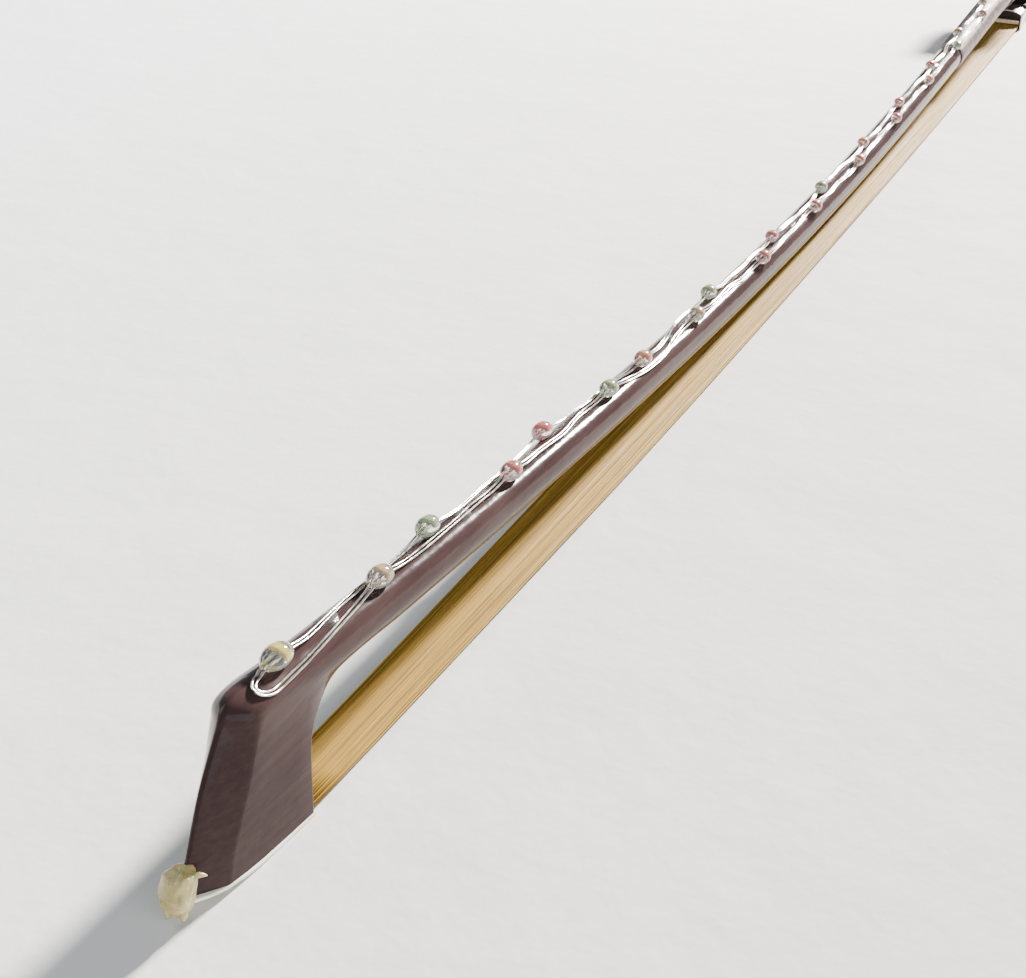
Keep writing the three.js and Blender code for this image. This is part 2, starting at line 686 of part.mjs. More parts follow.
// An octagonal length of the button, hollow for the screw.
function buttonLength(start, end, dia, hole) {
  const shape = new THREE.Shape();
  const corner = dia / 2 / Math.cos(Math.PI / 8);
  for (let k = 0; k < 8; k += 1) {
    const angle = Math.PI / 8 + (k * Math.PI) / 4;
    const move = k === 0 ? 'moveTo' : 'lineTo';
    shape[move](corner * Math.cos(angle), corner * Math.sin(angle));
  }
  return sectionAlongX(shape, start, end).subtract(rodAlongX(start - 1, end + 1, hole, 0, 0, 16));
}

function buttonEbony() {
  const from = BUTTON_START + SEAM;
  const core = rodAlongX(from, from + BUTTON_LENGTH - 0.8, 3.9, 0, 0, 16);
  const middle = buttonLength(
    BUTTON_START + RING_WIDTH + SEAM, BUTTON_START + BUTTON_LENGTH - RING_WIDTH - SEAM, BUTTON_DIA, 1,
  );
  return core.add(middle)
    .subtract(rodAlongX(from - 1, BUTTON_START + 9.3, SCREW_DIA / 2 + SEAM, 0, 0, 16))
    .subtract(rodAlongX(BUTTON_START + 11.6, 100, 2.6, 0, 0, 16));
}

function buttonRing(start) {
  return buttonLength(start, start + RING_WIDTH, BUTTON_DIA, 4);
}

function buttonPearl() {
  const end = BUTTON_START + BUTTON_LENGTH;
  return rodAlongX(BUTTON_START + 11.8, end - 0.3, 2.45, 0, 0, 16);
}

// ---------------------------------------------------------------- battery box, in the handle's own frame
const CASE_END = CASE_START + CASE_LENGTH;
const CASE_TOP = CASE_FLOOR + CASE_HEIGHT;
const LID_FLOOR = CASE_TOP - 2.6;
const LID_THICK = 1.3;
const CELL_X = CASE_END - WALL - 1 - CELL_DIA / 2;
const BOARD_FRONT = CASE_START + WALL + 0.8;

function batteryCase() {
  const half = CASE_WIDTH / 2;
  const inside = half - WALL;
  const shell = boxBetween([CASE_START, -half, CASE_FLOOR], [CASE_END, half, CASE_TOP]);
  const hollow = boxBetween(
    [CASE_START + WALL, -inside, CASE_FLOOR + WALL], [CASE_END - WALL, inside, CASE_TOP + 1],
  );
  const groove = boxBetween(
    [CASE_START + WALL + 0.2, -half + 0.9, LID_FLOOR - 0.2],
    [CASE_END + 1, half - 0.9, LID_FLOOR + LID_THICK + 0.2],
  );
  const rearGap = boxBetween(
    [CASE_END - WALL - 1, -inside, LID_FLOOR - 0.2], [CASE_END + 1, inside, CASE_TOP + 1],
  );
  const leadHole = rodAlongX(CASE_START - 1, CASE_START + 3, 1.6, 0, LEAD_HEIGHT, 12);
  const switchSlot = boxBetween([5.5, -half - 1, 10.2], [13.5, -inside + 1, 12.8]);
  return shell.subtract(hollow).subtract(groove).subtract(rearGap)
    .subtract(leadHole).subtract(switchSlot);
}

const LEAD_HEIGHT = 10.2;

function leadGrommet() {
  const ring = rodAlongX(CASE_START - 1.4, CASE_START + WALL + 0.3, 1.3, 0, LEAD_HEIGHT, 12);
  return ring.subtract(rodAlongX(CASE_START - 3, CASE_START + 5, 0.8, 0, LEAD_HEIGHT, 12));
}

function batteryLid() {
  const half = CASE_WIDTH / 2 - 1.15;
  const front = CASE_START + WALL + 0.5;
  const plate = boxBetween([front, -half, LID_FLOOR], [CASE_END, half, LID_FLOOR + LID_THICK]);
  const ribs = [0, 1, 2].map((k) => {
    const x = CASE_END - 12 + k * 3;
    return boxBetween([x, -5, LID_FLOOR + LID_THICK - 0.1], [x + 1, 5, LID_FLOOR + LID_THICK + 0.7]);
  });
  return ribs.reduce((lid, rib) => lid.add(rib), plate);
}

function coinCell(level) {
  const low = CASE_FLOOR + WALL + 0.5 + level * (CELL_THICK + SEAM);
  const can = rodAlongZ(low, low + CELL_THICK - 0.4, CELL_DIA / 2, CELL_X, 0, 24);
  return can.add(rodAlongZ(low + 0.2, low + CELL_THICK, CELL_DIA / 2 - 1.2, CELL_X, 0, 24));
}

function cellContact() {
  const low = CASE_FLOOR + WALL + 0.1;
  return rodAlongZ(low, low + 0.3, 4, CELL_X, 0, 16)
    .add(boxBetween([BOARD_FRONT + 13.6, -1.2, low], [CELL_X, 1.2, low + 0.3]));
}

function controlBoard() {
  return boxBetween([BOARD_FRONT, -9.4, 9.1], [BOARD_FRONT + 12, 9.4, 9.8]);
}

function controlChip() {
  return boxBetween([BOARD_FRONT + 4.2, 1.6, 9.9], [BOARD_FRONT + 8.4, 5.6, 11.3]);
}

function powerSwitch() {
  const half = CASE_WIDTH / 2;
  return boxBetween([6, -half - 1.1, 10.6], [9.4, -half + WALL + 1.2, 12.4]);
}

function foamPad() {
  return boxBetween([CASE_START + 2, -4.2, 5.25], [CASE_END - 2, 4.2, CASE_FLOOR - SEAM]);
}

// ---------------------------------------------------------------- assembly
place(bow, 'stick', stick(), 'wood');
place(bow, 'tip_plate', tipPlate(), 'bone');
place(bow, 'tip_liner', tipLiner(), 'ebony');
place(bow, 'nose_glue', noseGlue(), 'glue');
place(bow, 'tip_plug', tipPlug(), 'maple');
place(bow, 'tip_hair_knot', tipKnot(), 'thread');
place(bow, 'hair_ribbon', hairRibbon(), 'hair');
place(bow, 'silver_winding', gripSleeve(WINDING_START, WINDING_END, WINDING_THICK, 7), 'silver');
place(bow, 'thumb_leather', gripSleeve(LEATHER_START, LEATHER_END, LEATHER_THICK, 3), 'leather');

place(bow, 'light_wire', lightCord(WIRE_DIA / 2), 'silver');
const cordSpace = lightCord(WIRE_DIA / 2 + RUNNING);
LAMPS.forEach(([lane, x], k) => {
  const number = String(k + 1).padStart(2, '0');
  place(bow, `led_bead_${number}`, lampBead(lane, x, cordSpace), 'epoxy');
});
DAB_PLACES.forEach((x, k) => place(bow, `glue_dab_${k + 1}`, glueDab(x), 'glue'));

place(handle, 'frog_block', frogBlock(), 'ebony');
place(handle, 'underslide', underslide(), 'ebony');
place(handle, 'pearl_slide', pearlSlide(), 'pearl');
place(handle, 'ferrule', ferrule(), 'silver');
place(handle, 'spread_wedge', spreadWedge(), 'maple');
place(handle, 'frog_plug', frogPlug(), 'maple');
place(handle, 'frog_hair_knot', frogKnot(), 'thread');
place(handle, 'heel_plate', heelPlate(), 'silver');
place(handle, 'heel_pin', heelPin(), 'silver');
place(handle, 'eye_ring_left', eyeRing(-1), 'silver');
place(handle, 'eye_ring_right', eyeRing(1), 'silver');
place(handle, 'eye_pearl_left', eyePearl(-1), 'pearl');
place(handle, 'eye_pearl_right', eyePearl(1), 'pearl');
place(handle, 'eyelet', eyelet(), 'brass');

place(handle, 'screw_rod', screwRod(), 'steel');
place(handle, 'button_ebony', buttonEbony(), 'ebony');
place(handle, 'button_ring_front', buttonRing(BUTTON_START), 'silver');
place(handle, 'button_ring_rear', buttonRing(BUTTON_START + BUTTON_LENGTH - RING_WIDTH), 'silver');
place(handle, 'button_pearl', buttonPearl(), 'pearl');

place(handle, 'foam_pad', foamPad(), 'foam');
place(handle, 'battery_case', batteryCase(), 'plastic');
place(handle, 'battery_lid', batteryLid(), 'plastic');
place(handle, 'coin_cell_lower', coinCell(0), 'steel');
place(handle, 'coin_cell_upper', coinCell(1), 'steel');
place(handle, 'cell_contact', cellContact(), 'brass');
place(handle, 'control_board', controlBoard(), 'board');
place(handle, 'control_chip', controlChip(), 'ebony');
place(handle, 'power_switch', powerSwitch(), 'ebony');
place(handle, 'lead_grommet', leadGrommet(), 'plastic');

// The frame's origin is under the middle of the whole object, on the table.
const assembly = new THREE.Group();
assembly.add(bow);
assembly.updateMatrixWorld(true);
const whole = new THREE.Box3().setFromObject(assembly);
bow.position.set(-(whole.min.x + whole.max.x) / 2, 0, -whole.min.z);

export default assembly;
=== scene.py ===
"""The looks of a cello bow with a folded string of lights glued along its stick."""

import json
import math
import random

import bmesh
import bpy
from mathutils import Matrix, Vector, noise

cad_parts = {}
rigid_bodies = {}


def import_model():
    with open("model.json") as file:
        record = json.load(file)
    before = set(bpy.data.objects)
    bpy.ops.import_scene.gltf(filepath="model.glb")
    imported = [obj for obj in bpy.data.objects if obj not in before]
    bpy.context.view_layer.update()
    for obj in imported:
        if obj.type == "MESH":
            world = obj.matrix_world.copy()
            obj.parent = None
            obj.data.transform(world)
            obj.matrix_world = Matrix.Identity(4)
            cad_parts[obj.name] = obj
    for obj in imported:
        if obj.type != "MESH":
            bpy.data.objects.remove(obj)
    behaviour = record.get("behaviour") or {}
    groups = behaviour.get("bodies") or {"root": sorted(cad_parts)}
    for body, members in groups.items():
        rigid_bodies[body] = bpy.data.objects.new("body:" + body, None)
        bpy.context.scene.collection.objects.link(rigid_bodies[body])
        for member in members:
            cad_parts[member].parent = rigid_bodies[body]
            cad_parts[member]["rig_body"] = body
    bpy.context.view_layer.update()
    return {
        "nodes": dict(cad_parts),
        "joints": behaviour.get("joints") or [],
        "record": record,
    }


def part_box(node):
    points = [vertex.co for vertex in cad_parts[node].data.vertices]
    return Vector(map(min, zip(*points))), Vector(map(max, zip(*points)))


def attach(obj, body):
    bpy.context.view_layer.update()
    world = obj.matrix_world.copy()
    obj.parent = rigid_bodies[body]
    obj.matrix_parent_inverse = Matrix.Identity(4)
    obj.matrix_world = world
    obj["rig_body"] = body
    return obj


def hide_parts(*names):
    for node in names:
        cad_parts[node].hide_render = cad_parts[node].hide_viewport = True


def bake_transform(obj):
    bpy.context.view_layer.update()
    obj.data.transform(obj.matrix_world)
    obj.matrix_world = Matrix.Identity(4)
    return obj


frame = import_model()
MM = 0.001

# ---------------------------------------------------------------- places taken from the frame
# The head's corner is the rear lower corner of the wood: every x below is in mm from it.
HEAD_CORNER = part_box("tip_plate")[1].x - 0.8 * MM
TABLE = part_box("tip_plate")[0].z
SCREW = next(joint for joint in frame["joints"] if joint["name"] == "screw_turn")
HANDLE_PLACE = Vector(SCREW["pos_m"])
HANDLE_AXIS = Vector(SCREW["axis"])
HANDLE_X = (HANDLE_PLACE.x - HEAD_CORNER) / MM
OCTAGON_X = 588
STICK_END = (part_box("stick")[1].x - HEAD_CORNER) / MM - 0.1


def stick_rings():
    """x of each ring of the CAD stick's round stretch, with its top and bottom, in mm."""
    rings = {}
    for vertex in frame["nodes"]["stick"].data.vertices:
        x = (vertex.co.x - HEAD_CORNER) / MM
        if 14 < x < OCTAGON_X - 0.1:
            rings.setdefault(round(x, 2), []).append(vertex.co.z / MM)
    return sorted((x, max(zs), min(zs)) for x, zs in rings.items() if len(zs) >= 12)


RINGS = stick_rings()
THIN_X = 80
THIN_RING = min(RINGS, key=lambda ring: abs(ring[0] - THIN_X))
THIN, THICK = [(x, (top - low) / 2) for x, top, low in (THIN_RING, RINGS[-1])]
TAPER = (THICK[1] - THIN[1]) / (THICK[0] - THIN[0])


def stick_radius(x):
    return THIN[1] + TAPER * (min(x, HANDLE_X) - THIN[0])


AXIS = [(x, top - stick_radius(x)) for x, top, low in RINGS]


def axis_height(x):
    """Height in mm of the stick's axis: a smooth curve through the rings, straight at both ends."""
    if x >= OCTAGON_X:
        return HANDLE_PLACE.z / MM + (x - HANDLE_X) * HANDLE_AXIS.z / HANDLE_AXIS.x
    if x <= AXIS[0][0]:
        (x0, z0), (x1, z1) = AXIS[:2]
        return z0 + (x - x0) * (z1 - z0) / (x1 - x0)
    k = next((i for i in range(1, len(AXIS)) if AXIS[i][0] >= x), len(AXIS) - 1)
    before, a, b, after = (AXIS[max(0, min(len(AXIS) - 1, i))] for i in (k - 2, k - 1, k, k + 1))
    span = b[0] - a[0]
    t = (x - a[0]) / span
    slope_a = (b[1] - before[1]) / (b[0] - before[0]) * span
    slope_b = (after[1] - a[1]) / (after[0] - a[0]) * span
    return (
        (2 * t**3 - 3 * t**2 + 1) * a[1]
        + (t**3 - 2 * t**2 + t) * slope_a
        + (3 * t**2 - 2 * t**3) * b[1]
        + (t**3 - t**2) * slope_b
    )


def place(x, y, z):
    """A point given in mm, x from the head's corner and z from the table, in the frame's metres."""
    return Vector((HEAD_CORNER + x * MM, y * MM, TABLE + z * MM))


def over_stick(x, degrees, lift):
    """A point at an angle round the stick, towards -Y from its top, lift mm over the wood."""
    reach = stick_radius(x) + lift
    angle = math.radians(degrees)
    return place(x, -reach * math.sin(angle), axis_height(x) + reach * math.cos(angle))


def mix(a, b, t):
    return a + (b - a) * t


def smooth_step(t):
    t = min(1, max(0, t))
    return t * t * (3 - 2 * t)


# ---------------------------------------------------------------- materials
def new_material(name):
    material = bpy.data.materials.new(name)
    material.use_nodes = True
    nodes, links = material.node_tree.nodes, material.node_tree.links
    return material, nodes, links, nodes["Principled BSDF"]


def noise_texture(nodes, links, stretch, scale, detail=4, rough=0.55):
    """Noise in the frame's metres, its scale multiplied along each axis by stretch."""
    where = nodes.new("ShaderNodeTexCoord")
    mapping = nodes.new("ShaderNodeMapping")
    mapping.inputs["Scale"].default_value = stretch
    texture = nodes.new("ShaderNodeTexNoise")
    texture.inputs["Scale"].default_value = scale
    texture.inputs["Detail"].default_value = detail
    texture.inputs["Roughness"].default_value = rough
    links.new(where.outputs["Object"], mapping.inputs["Vector"])
    links.new(mapping.outputs["Vector"], texture.inputs["Vector"])
    return texture.outputs["Fac"]


def colour_ramp(nodes, links, factor, stops):
    ramp = nodes.new("ShaderNodeValToRGB")
    elements = ramp.color_ramp.elements
    for spot, colour in stops[2:]:
        elements.new(spot)
    for element, (spot, colour) in zip(elements, stops):
        element.position = spot
        element.color = (*colour, 1)
    links.new(factor, ramp.inputs["Fac"])
    return ramp.outputs["Color"]


def value_range(nodes, links, factor, low, high):
    span = nodes.new("ShaderNodeMapRange")
    span.inputs["From Min"].default_value = 0.3
    span.inputs["From Max"].default_value = 0.7
    span.inputs["To Min"].default_value = low
    span.inputs["To Max"].default_value = high
    links.new(factor, span.inputs["Value"])
    return span.outputs["Result"]


def add_bump(nodes, links, shader, height, strength, distance):
    bump = nodes.new("ShaderNodeBump")
    bump.inputs["Strength"].default_value = strength
    bump.inputs["Distance"].default_value = distance
    links.new(height, bump.inputs["Height"])
    links.new(bump.outputs["Normal"], shader.inputs["Normal"])


def mottled(
    name, colours, scale, stretch=(1, 1, 1), rough=(0.4, 0.5), metal=0.0, bump=(0.1, 0.0001), **sockets
):
    """A surface whose colour, roughness and height vary with noise."""
    material, nodes, links, shader = new_material(name)
    pattern = noise_texture(nodes, links, stretch, scale)
    stops = [(0.3 + 0.4 * k / (len(colours) - 1), colour) for k, colour in enumerate(colours)]
    links.new(colour_ramp(nodes, links, pattern, stops), shader.inputs["Base Color"])
    wear = noise_texture(nodes, links, stretch, scale * 2.3)
    links.new(value_range(nodes, links, wear, *rough), shader.inputs["Roughness"])
    shader.inputs["Metallic"].default_value = metal
    add_bump(nodes, links, shader, wear, *bump)
    for socket, value in sockets.items():
        shader.inputs[socket.replace("_", " ")].default_value = value
    return material


def varnished_wood():
    """Dark purplish-brown wood: fine grain along the stick under a faintly rippled varnish."""
    material, nodes, links, shader = new_material("varnished_wood")
    grain = noise_texture(nodes, links, (0.06, 1, 1), 900, 5, 0.65)
    cloud = noise_texture(nodes, links, (0.3, 1, 1), 110, 3)
    blend = nodes.new("ShaderNodeMix")
    blend.data_type = "FLOAT"
    blend.inputs["Factor"].default_value = 0.4
    links.new(grain, blend.inputs["A"])
    links.new(cloud, blend.inputs["B"])
    stops = [(0.3, (0.026, 0.0145, 0.0145)), (0.5, (0.037, 0.0215, 0.021)), (0.72, (0.052, 0.031, 0.029))]
    links.new(colour_ramp(nodes, links, blend.outputs["Result"], stops), shader.inputs["Base Color"])
    ripple = noise_texture(nodes, links, (0.5, 1, 1), 420, 2)
    links.new(value_range(nodes, links, ripple, 0.11, 0.17), shader.inputs["Roughness"])
    add_bump(nodes, links, shader, ripple, 0.22, 0.0003)
    shader.inputs["Specular IOR Level"].default_value = 0.07
    return material


def horsehair():
    """Straw-coloured hairs: the tone changes quickly across the ribbon and slowly along it."""
    material, nodes, links, shader = new_material("horsehair")
    strand = noise_texture(nodes, links, (0.012, 1, 1), 1900, 3, 0.7)
    stops = [
        (0.28, (0.17, 0.085, 0.014)), (0.42, (0.26, 0.145, 0.02)),
        (0.54, (0.34, 0.2, 0.026)), (0.72, (0.48, 0.3, 0.05)),
    ]
    links.new(colour_ramp(nodes, links, strand, stops), shader.inputs["Base Color"])
    links.new(value_range(nodes, links, strand, 0.5, 0.7), shader.inputs["Roughness"])
    add_bump(nodes, links, shader, strand, 0.3, 0.0002)
    shader.inputs["Specular IOR Level"].default_value = 0.12
    return material


def set_glue():
    """Cloudy yellowish hot-melt glue."""
    material, nodes, links, shader = new_material("set_glue")
    cloud = noise_texture(nodes, links, (1, 1, 1), 500, 4)
    stops = [(0.3, (0.5, 0.4, 0.13)), (0.5, (0.58, 0.5, 0.21)), (0.7, (0.64, 0.58, 0.32))]
    links.new(colour_ramp(nodes, links, cloud, stops), shader.inputs["Base Color"])
    links.new(value_range(nodes, links, cloud, 0.18, 0.4), shader.inputs["Roughness"])
    add_bump(nodes, links, shader, cloud, 0.5, 0.0004)
    shader.inputs["Subsurface Weight"].default_value = 0.6
    shader.inputs["Subsurface Scale"].default_value = 0.0015
    shader.inputs["Transmission Weight"].default_value = 0.25
    return material


def clear_resin(name, tint, rough):
    """Cast epoxy with a little cloud in it."""
    material, nodes, links, shader = new_material(name)
    cloud = noise_texture(nodes, links, (1, 1, 1), 700, 3)
    stops = [(0.35, [c * 0.86 for c in tint]), (0.65, tint)]
    links.new(colour_ramp(nodes, links, cloud, stops), shader.inputs["Base Color"])
    links.new(value_range(nodes, links, cloud, rough, rough * 2), shader.inputs["Roughness"])
    shader.inputs["Transmission Weight"].default_value = 0.93
    shader.inputs["IOR"].default_value = 1.5
    add_bump(nodes, links, shader, cloud, 0.15, 0.0002)
    return material


def pearl_shell():
    """Abalone: bands of pale green, pink and grey."""
    material, nodes, links, shader = new_material("pearl_shell")
    wave = noise_texture(nodes, links, (1, 1.6, 1), 260, 6, 0.7)
    stops = [
        (0.3, (0.42, 0.55, 0.5)), (0.44, (0.78, 0.84, 0.8)),
        (0.54, (0.86, 0.72, 0.76)), (0.68, (0.6, 0.74, 0.8)),
    ]
    links.new(colour_ramp(nodes, links, wave, stops), shader.inputs["Base Color"])
    links.new(value_range(nodes, links, wave, 0.12, 0.25), shader.inputs["Roughness"])
    shader.inputs["Coat Weight"].default_value = 0.7
    return material


def grained_leather():
    material, nodes, links, shader = new_material("grained_leather")
    where = nodes.new("ShaderNodeTexCoord")
    cells = nodes.new("ShaderNodeTexVoronoi")
    cells.inputs["Scale"].default_value = 1500
    links.new(where.outputs["Object"], cells.inputs["Vector"])
    cloud = noise_texture(nodes, links, (1, 1, 1), 300)
    stops = [(0.3, (0.012, 0.009, 0.008)), (0.7, (0.05, 0.037, 0.03))]
    links.new(colour_ramp(nodes, links, cloud, stops), shader.inputs["Base Color"])
    links.new(value_range(nodes, links, cloud, 0.45, 0.65), shader.inputs["Roughness"])
    add_bump(nodes, links, shader, cells.outputs["Distance"], 0.5, 0.0003)
    shader.inputs["Specular IOR Level"].default_value = 0.15
    return material


SILVER_TONES = [(0.44, 0.39, 0.38), (0.66, 0.61, 0.6)]
EBONY_TONES = [(0.008, 0.006, 0.006), (0.016, 0.012, 0.012), (0.03, 0.023, 0.021)]
LOOKS = {
    "wood": varnished_wood(),
    "ebony": mottled("ebony_wood", EBONY_TONES, 700, (0.08, 1, 1), (0.3, 0.42), Specular_IOR_Level=0.12),
    "bone": mottled("bone_plate", [(0.72, 0.66, 0.52), (0.88, 0.85, 0.74)], 240, rough=(0.3, 0.45)),
    "glue": set_glue(),
    "hair": horsehair(),
    "silver": mottled("worn_silver", SILVER_TONES, 500, rough=(0.24, 0.4), metal=1, bump=(0.1, 0.00005)),
    "light_string_wire": mottled(
        "tinned_wire", [(0.3, 0.28, 0.25), (0.84, 0.82, 0.77)], 420, rough=(0.08, 0.2), metal=1,
    ),
    "brass": mottled("brass", [(0.5, 0.34, 0.1), (0.68, 0.5, 0.2)], 500, rough=(0.22, 0.4), metal=1),
    "steel": mottled("steel", [(0.4, 0.4, 0.41), (0.56, 0.56, 0.57)], 600, (0.2, 1, 1), (0.22, 0.36), 1),
    "pearl": pearl_shell(),
    "leather": grained_leather(),
    "maple": mottled("maple", [(0.5, 0.35, 0.18), (0.68, 0.52, 0.32)], 800, (0.1, 1, 1), (0.5, 0.65)),
    "thread": mottled("thread", [(0.2, 0.015, 0.012), (0.36, 0.04, 0.03)], 2500, rough=(0.65, 0.8)),
    "lamp_resin": clear_resin("lamp_resin", (0.93, 0.96, 0.86), 0.04),
    "white_plastic": mottled("white_plastic", [(0.5, 0.51, 0.5), (0.58, 0.59, 0.58)], 300, rough=(0.35, 0.5)),
    "foam": mottled(
        "foam", [(0.72, 0.7, 0.64), (0.86, 0.85, 0.8)], 2600, rough=(0.8, 0.95), bump=(0.6, 0.0004),
    ),
    "circuit_board": mottled(
        "circuit_board", [(0.02, 0.11, 0.045), (0.03, 0.17, 0.07)], 900, rough=(0.3, 0.45),
    ),
    "black_plastic": mottled(
        "black_plastic", [(0.012, 0.012, 0.012), (0.025, 0.025, 0.025)], 700, Specular_IOR_Level=0.2,
    ),
}

for subpart in frame["record"]["subparts"]:
    node = frame["nodes"][subpart["node"]]
    node.data.materials.clear()
    node.data.materials.append(LOOKS[subpart["material_slot"]])


# ---------------------------------------------------------------- mesh helpers
class Pile:
    """Vertices and faces gathered from many small shapes, to become one mesh."""

    def __init__(self):
        self.vertices = []
        self.faces = []

    def loft(self, loops):
        """Rings of points, all of one length, joined in turn and closed at the ends."""
        start, count = len(self.vertices), len(loops[0])
        for loop in loops:
            self.vertices.extend(loop)
        for k in range(len(loops) - 1):
            a, b = start + k * count, start + (k + 1) * count
            for i in range(count):
                j = (i + 1) % count
                self.faces.append((a + i, a + j, b + j, b + i))
        last = start + (len(loops) - 1) * count
        self.faces.append(tuple(reversed(range(start, start + count))))
        self.faces.append(tuple(range(last, last + count)))

    def tube(self, points, radius, sides=8):
        """A round tube through points; radius is one number or one for each point."""
        radii = radius if isinstance(radius, list) else [radius] * len(points)
        side = Vector((0, 1, 0))
        loops = []
        for k, point in enumerate(points):
            ahead = (points[min(k + 1, len(points) - 1)] - points[max(k - 1, 0)]).normalized()
            side = (side - ahead * side.dot(ahead)).normalized()
            up = ahead.cross(side)
            turns = [2 * math.pi * i / sides for i in range(sides)]
            loops.append([point + (side * math.cos(a) + up * math.sin(a)) * radii[k] for a in turns])
        self.loft(loops)

    def made(self, name, look, body="stick", sharp_degrees=50, ride=True):
        mesh = bpy.data.meshes.new(name)
        mesh.from_pydata(self.vertices, [], self.faces)
        return shown(mesh, name, look, body, sharp_degrees, ride)


def shown(mesh, name, look, body="stick", sharp_degrees=50, ride=True):
    """An object made from a mesh, shaded smooth up to an angle, that rides on a body."""
    work = bmesh.new()
    work.from_mesh(mesh)
    bmesh.ops.recalc_face_normals(work, faces=work.faces)
    for face in work.faces:
        face.smooth = True
    for edge in work.edges:
        edge.smooth = len(edge.link_faces) == 2 and edge.calc_face_angle() < math.radians(sharp_degrees)
    work.to_mesh(mesh)
    work.free()
    piece = bpy.data.objects.new(name, mesh)
    bpy.context.scene.collection.objects.link(piece)
    mesh.materials.append(LOOKS[look])
    if ride:
        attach(piece, body)
    return piece


def refined(node_name, bevel):
    """A CAD node's mesh with its sharp edges rounded, shown in place of the node."""
    node = frame["nodes"][node_name]
    work = bmesh.new()
    work.from_mesh(node.data)
    bmesh.ops.remove_doubles(work, verts=work.verts, dist=1e-6)
    bmesh.ops.dissolve_limit(work, angle_limit=math.radians(1), verts=work.verts, edges=work.edges)
    sharp = [e for e in work.edges if len(e.link_faces) == 2 and e.calc_face_angle() > math.radians(35)]
    bmesh.ops.bevel(
        work, geom=sharp, offset=bevel * MM, segments=2, profile=0.6, affect="EDGES", clamp_overlap=True,
    )
    mesh = bpy.data.meshes.new(node_name + "_rounded")
    work.to_mesh(mesh)
    work.free()
    slots = {part["node"]: part["material_slot"] for part in frame["record"]["subparts"]}
    piece = shown(mesh, node_name + "_rounded", slots[node_name], node["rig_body"], 40)
    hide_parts(node_name)


def cut_away(piece, cutters):
    """Cuts boxes or rods out of a piece's mesh."""
    for cutter in cutters:
        step = piece.modifiers.new("cut", "BOOLEAN")
        step.operation = "DIFFERENCE"
        step.solver = "EXACT"
        step.object = cutter
    bpy.context.view_layer.update()
    cut = bpy.data.meshes.new_from_object(piece.evaluated_get(bpy.context.evaluated_depsgraph_get()))
    piece.modifiers.clear()
    piece.data = cut
    for cutter in cutters:
        bpy.data.objects.remove(cutter)


def handle_block(low, high):
    """A box in the handle's own frame, mm from where the frog starts, as a bare object."""
    mesh = bpy.data.meshes.new("handle_block")
    work = bmesh.new()
    bmesh.ops.create_cube(work, size=1)
    size = [(b - a) * MM for a, b in zip(low, high)]
    middle = [(a + b) / 2 * MM for a, b in zip(low, high)]
    bmesh.ops.scale(work, vec=size, verts=work.verts)
    bmesh.ops.translate(work, vec=middle, verts=work.verts)
    work.transform(HANDLE_MATRIX)
    work.to_mesh(mesh)
    work.free()
    block = bpy.data.objects.new("handle_block", mesh)
    bpy.context.scene.collection.objects.link(block)
    return block


HANDLE_TILT = math.atan2(HANDLE_AXIS.z, HANDLE_AXIS.x)
HANDLE_MATRIX = Matrix.Translation(HANDLE_PLACE) @ Matrix.Rotation(-HANDLE_TILT, 4, "Y")

# ---------------------------------------------------------------- head and stick
PLATE_TOP = 0.74
CURL_X, CURL = -9, 0.0085


def plate_curve(x):
    """How far the tip plate's underside has curled up from the table at x."""
    return CURL * max(0, CURL_X - x) ** 2


# Slanting sections of the head, from the plate up into the stick. Each has its rear point (x, z),
# its front ridge point, its half widths at the rear and at the chamfer, the depth of the chamfer
# along the section, and how far it has turned into the round stick.
HEAD_SECTIONS = [
    ((0.7, PLATE_TOP), (-25.0, 2.9), 5.4, 3.5, 6.3, 0),
    ((1.0, 5.0), (-23.6, 7.0), 5.2, 3.6, 6.4, 0),
    ((1.35, 9.0), (-21.6, 11.5), 5.0, 3.75, 6.4, 0),
    ((1.9, 12.2), (-19.2, 16.5), 4.75, 3.9, 6.2, 0),
    ((3.0, 14.4), (-16.6, 20.5), 4.5, 3.95, 5.2, 0.02),
    ((4.8, 15.8), (-14.2, 24.0), 4.25, 4.0, 4.0, 0.1),
    ((7.4, 16.8), (-12.4, 26.6), 4.1, 4.0, 2.4, 0.3),
    ((10.6, 17.3), (-8.5, 27.5), 4.0, 4.0, 1.8, 0.6),
    ((14.2, 17.35), (0.0, 26.75), 4.0, 4.0, 1.8, 0.9),
    ((18.2, 17.1), (9.0, 25.85), 4.0, 4.0, 1.8, 1),
    ((22.8, 16.7), (18.0, 25.0), 4.0, 4.0, 1.8, 1),
]
CORNER_RADIUS = 0.55
RIDGE_HALF = 0.5
CIRCLE_STEPS = 20


def corner(before, at, after, radius, count=5):
    """Points of a rounded corner of a flat outline."""
    at = Vector(at)
    to_before = (Vector(before) - at).normalized() * radius
    to_after = (Vector(after) - at).normalized() * radius
    result = []
    for k in range(count):
        t = k / (count - 1)
        result.append((1 - t) ** 2 * (at + to_before) + 2 * t * (1 - t) * at + t**2 * (at + to_after))
    return result


def head_outline(rear_half, chamfer_half, depth, chamfer):
    """Half of a head section: (depth from the rear, y) from the rear's middle to the ridge."""
    middle, edge = (0, 0), (0, rear_half)
    shoulder, ridge = (depth - chamfer, chamfer_half), (depth, RIDGE_HALF)
    first = corner(middle, edge, shoulder, CORNER_RADIUS)
    second = corner(edge, shoulder, ridge, CORNER_RADIUS * 0.8)
    side = [first[-1].lerp(second[0], k / 5) for k in range(1, 5)]
    last = [Vector((depth - 0.25, RIDGE_HALF)), Vector((depth - 0.06, RIDGE_HALF * 0.5))]
    face = [second[-1].lerp(last[0], k / 4) for k in range(1, 4)]
    return [Vector(middle)] + first + side + second + face + last + [Vector((depth, 0))]


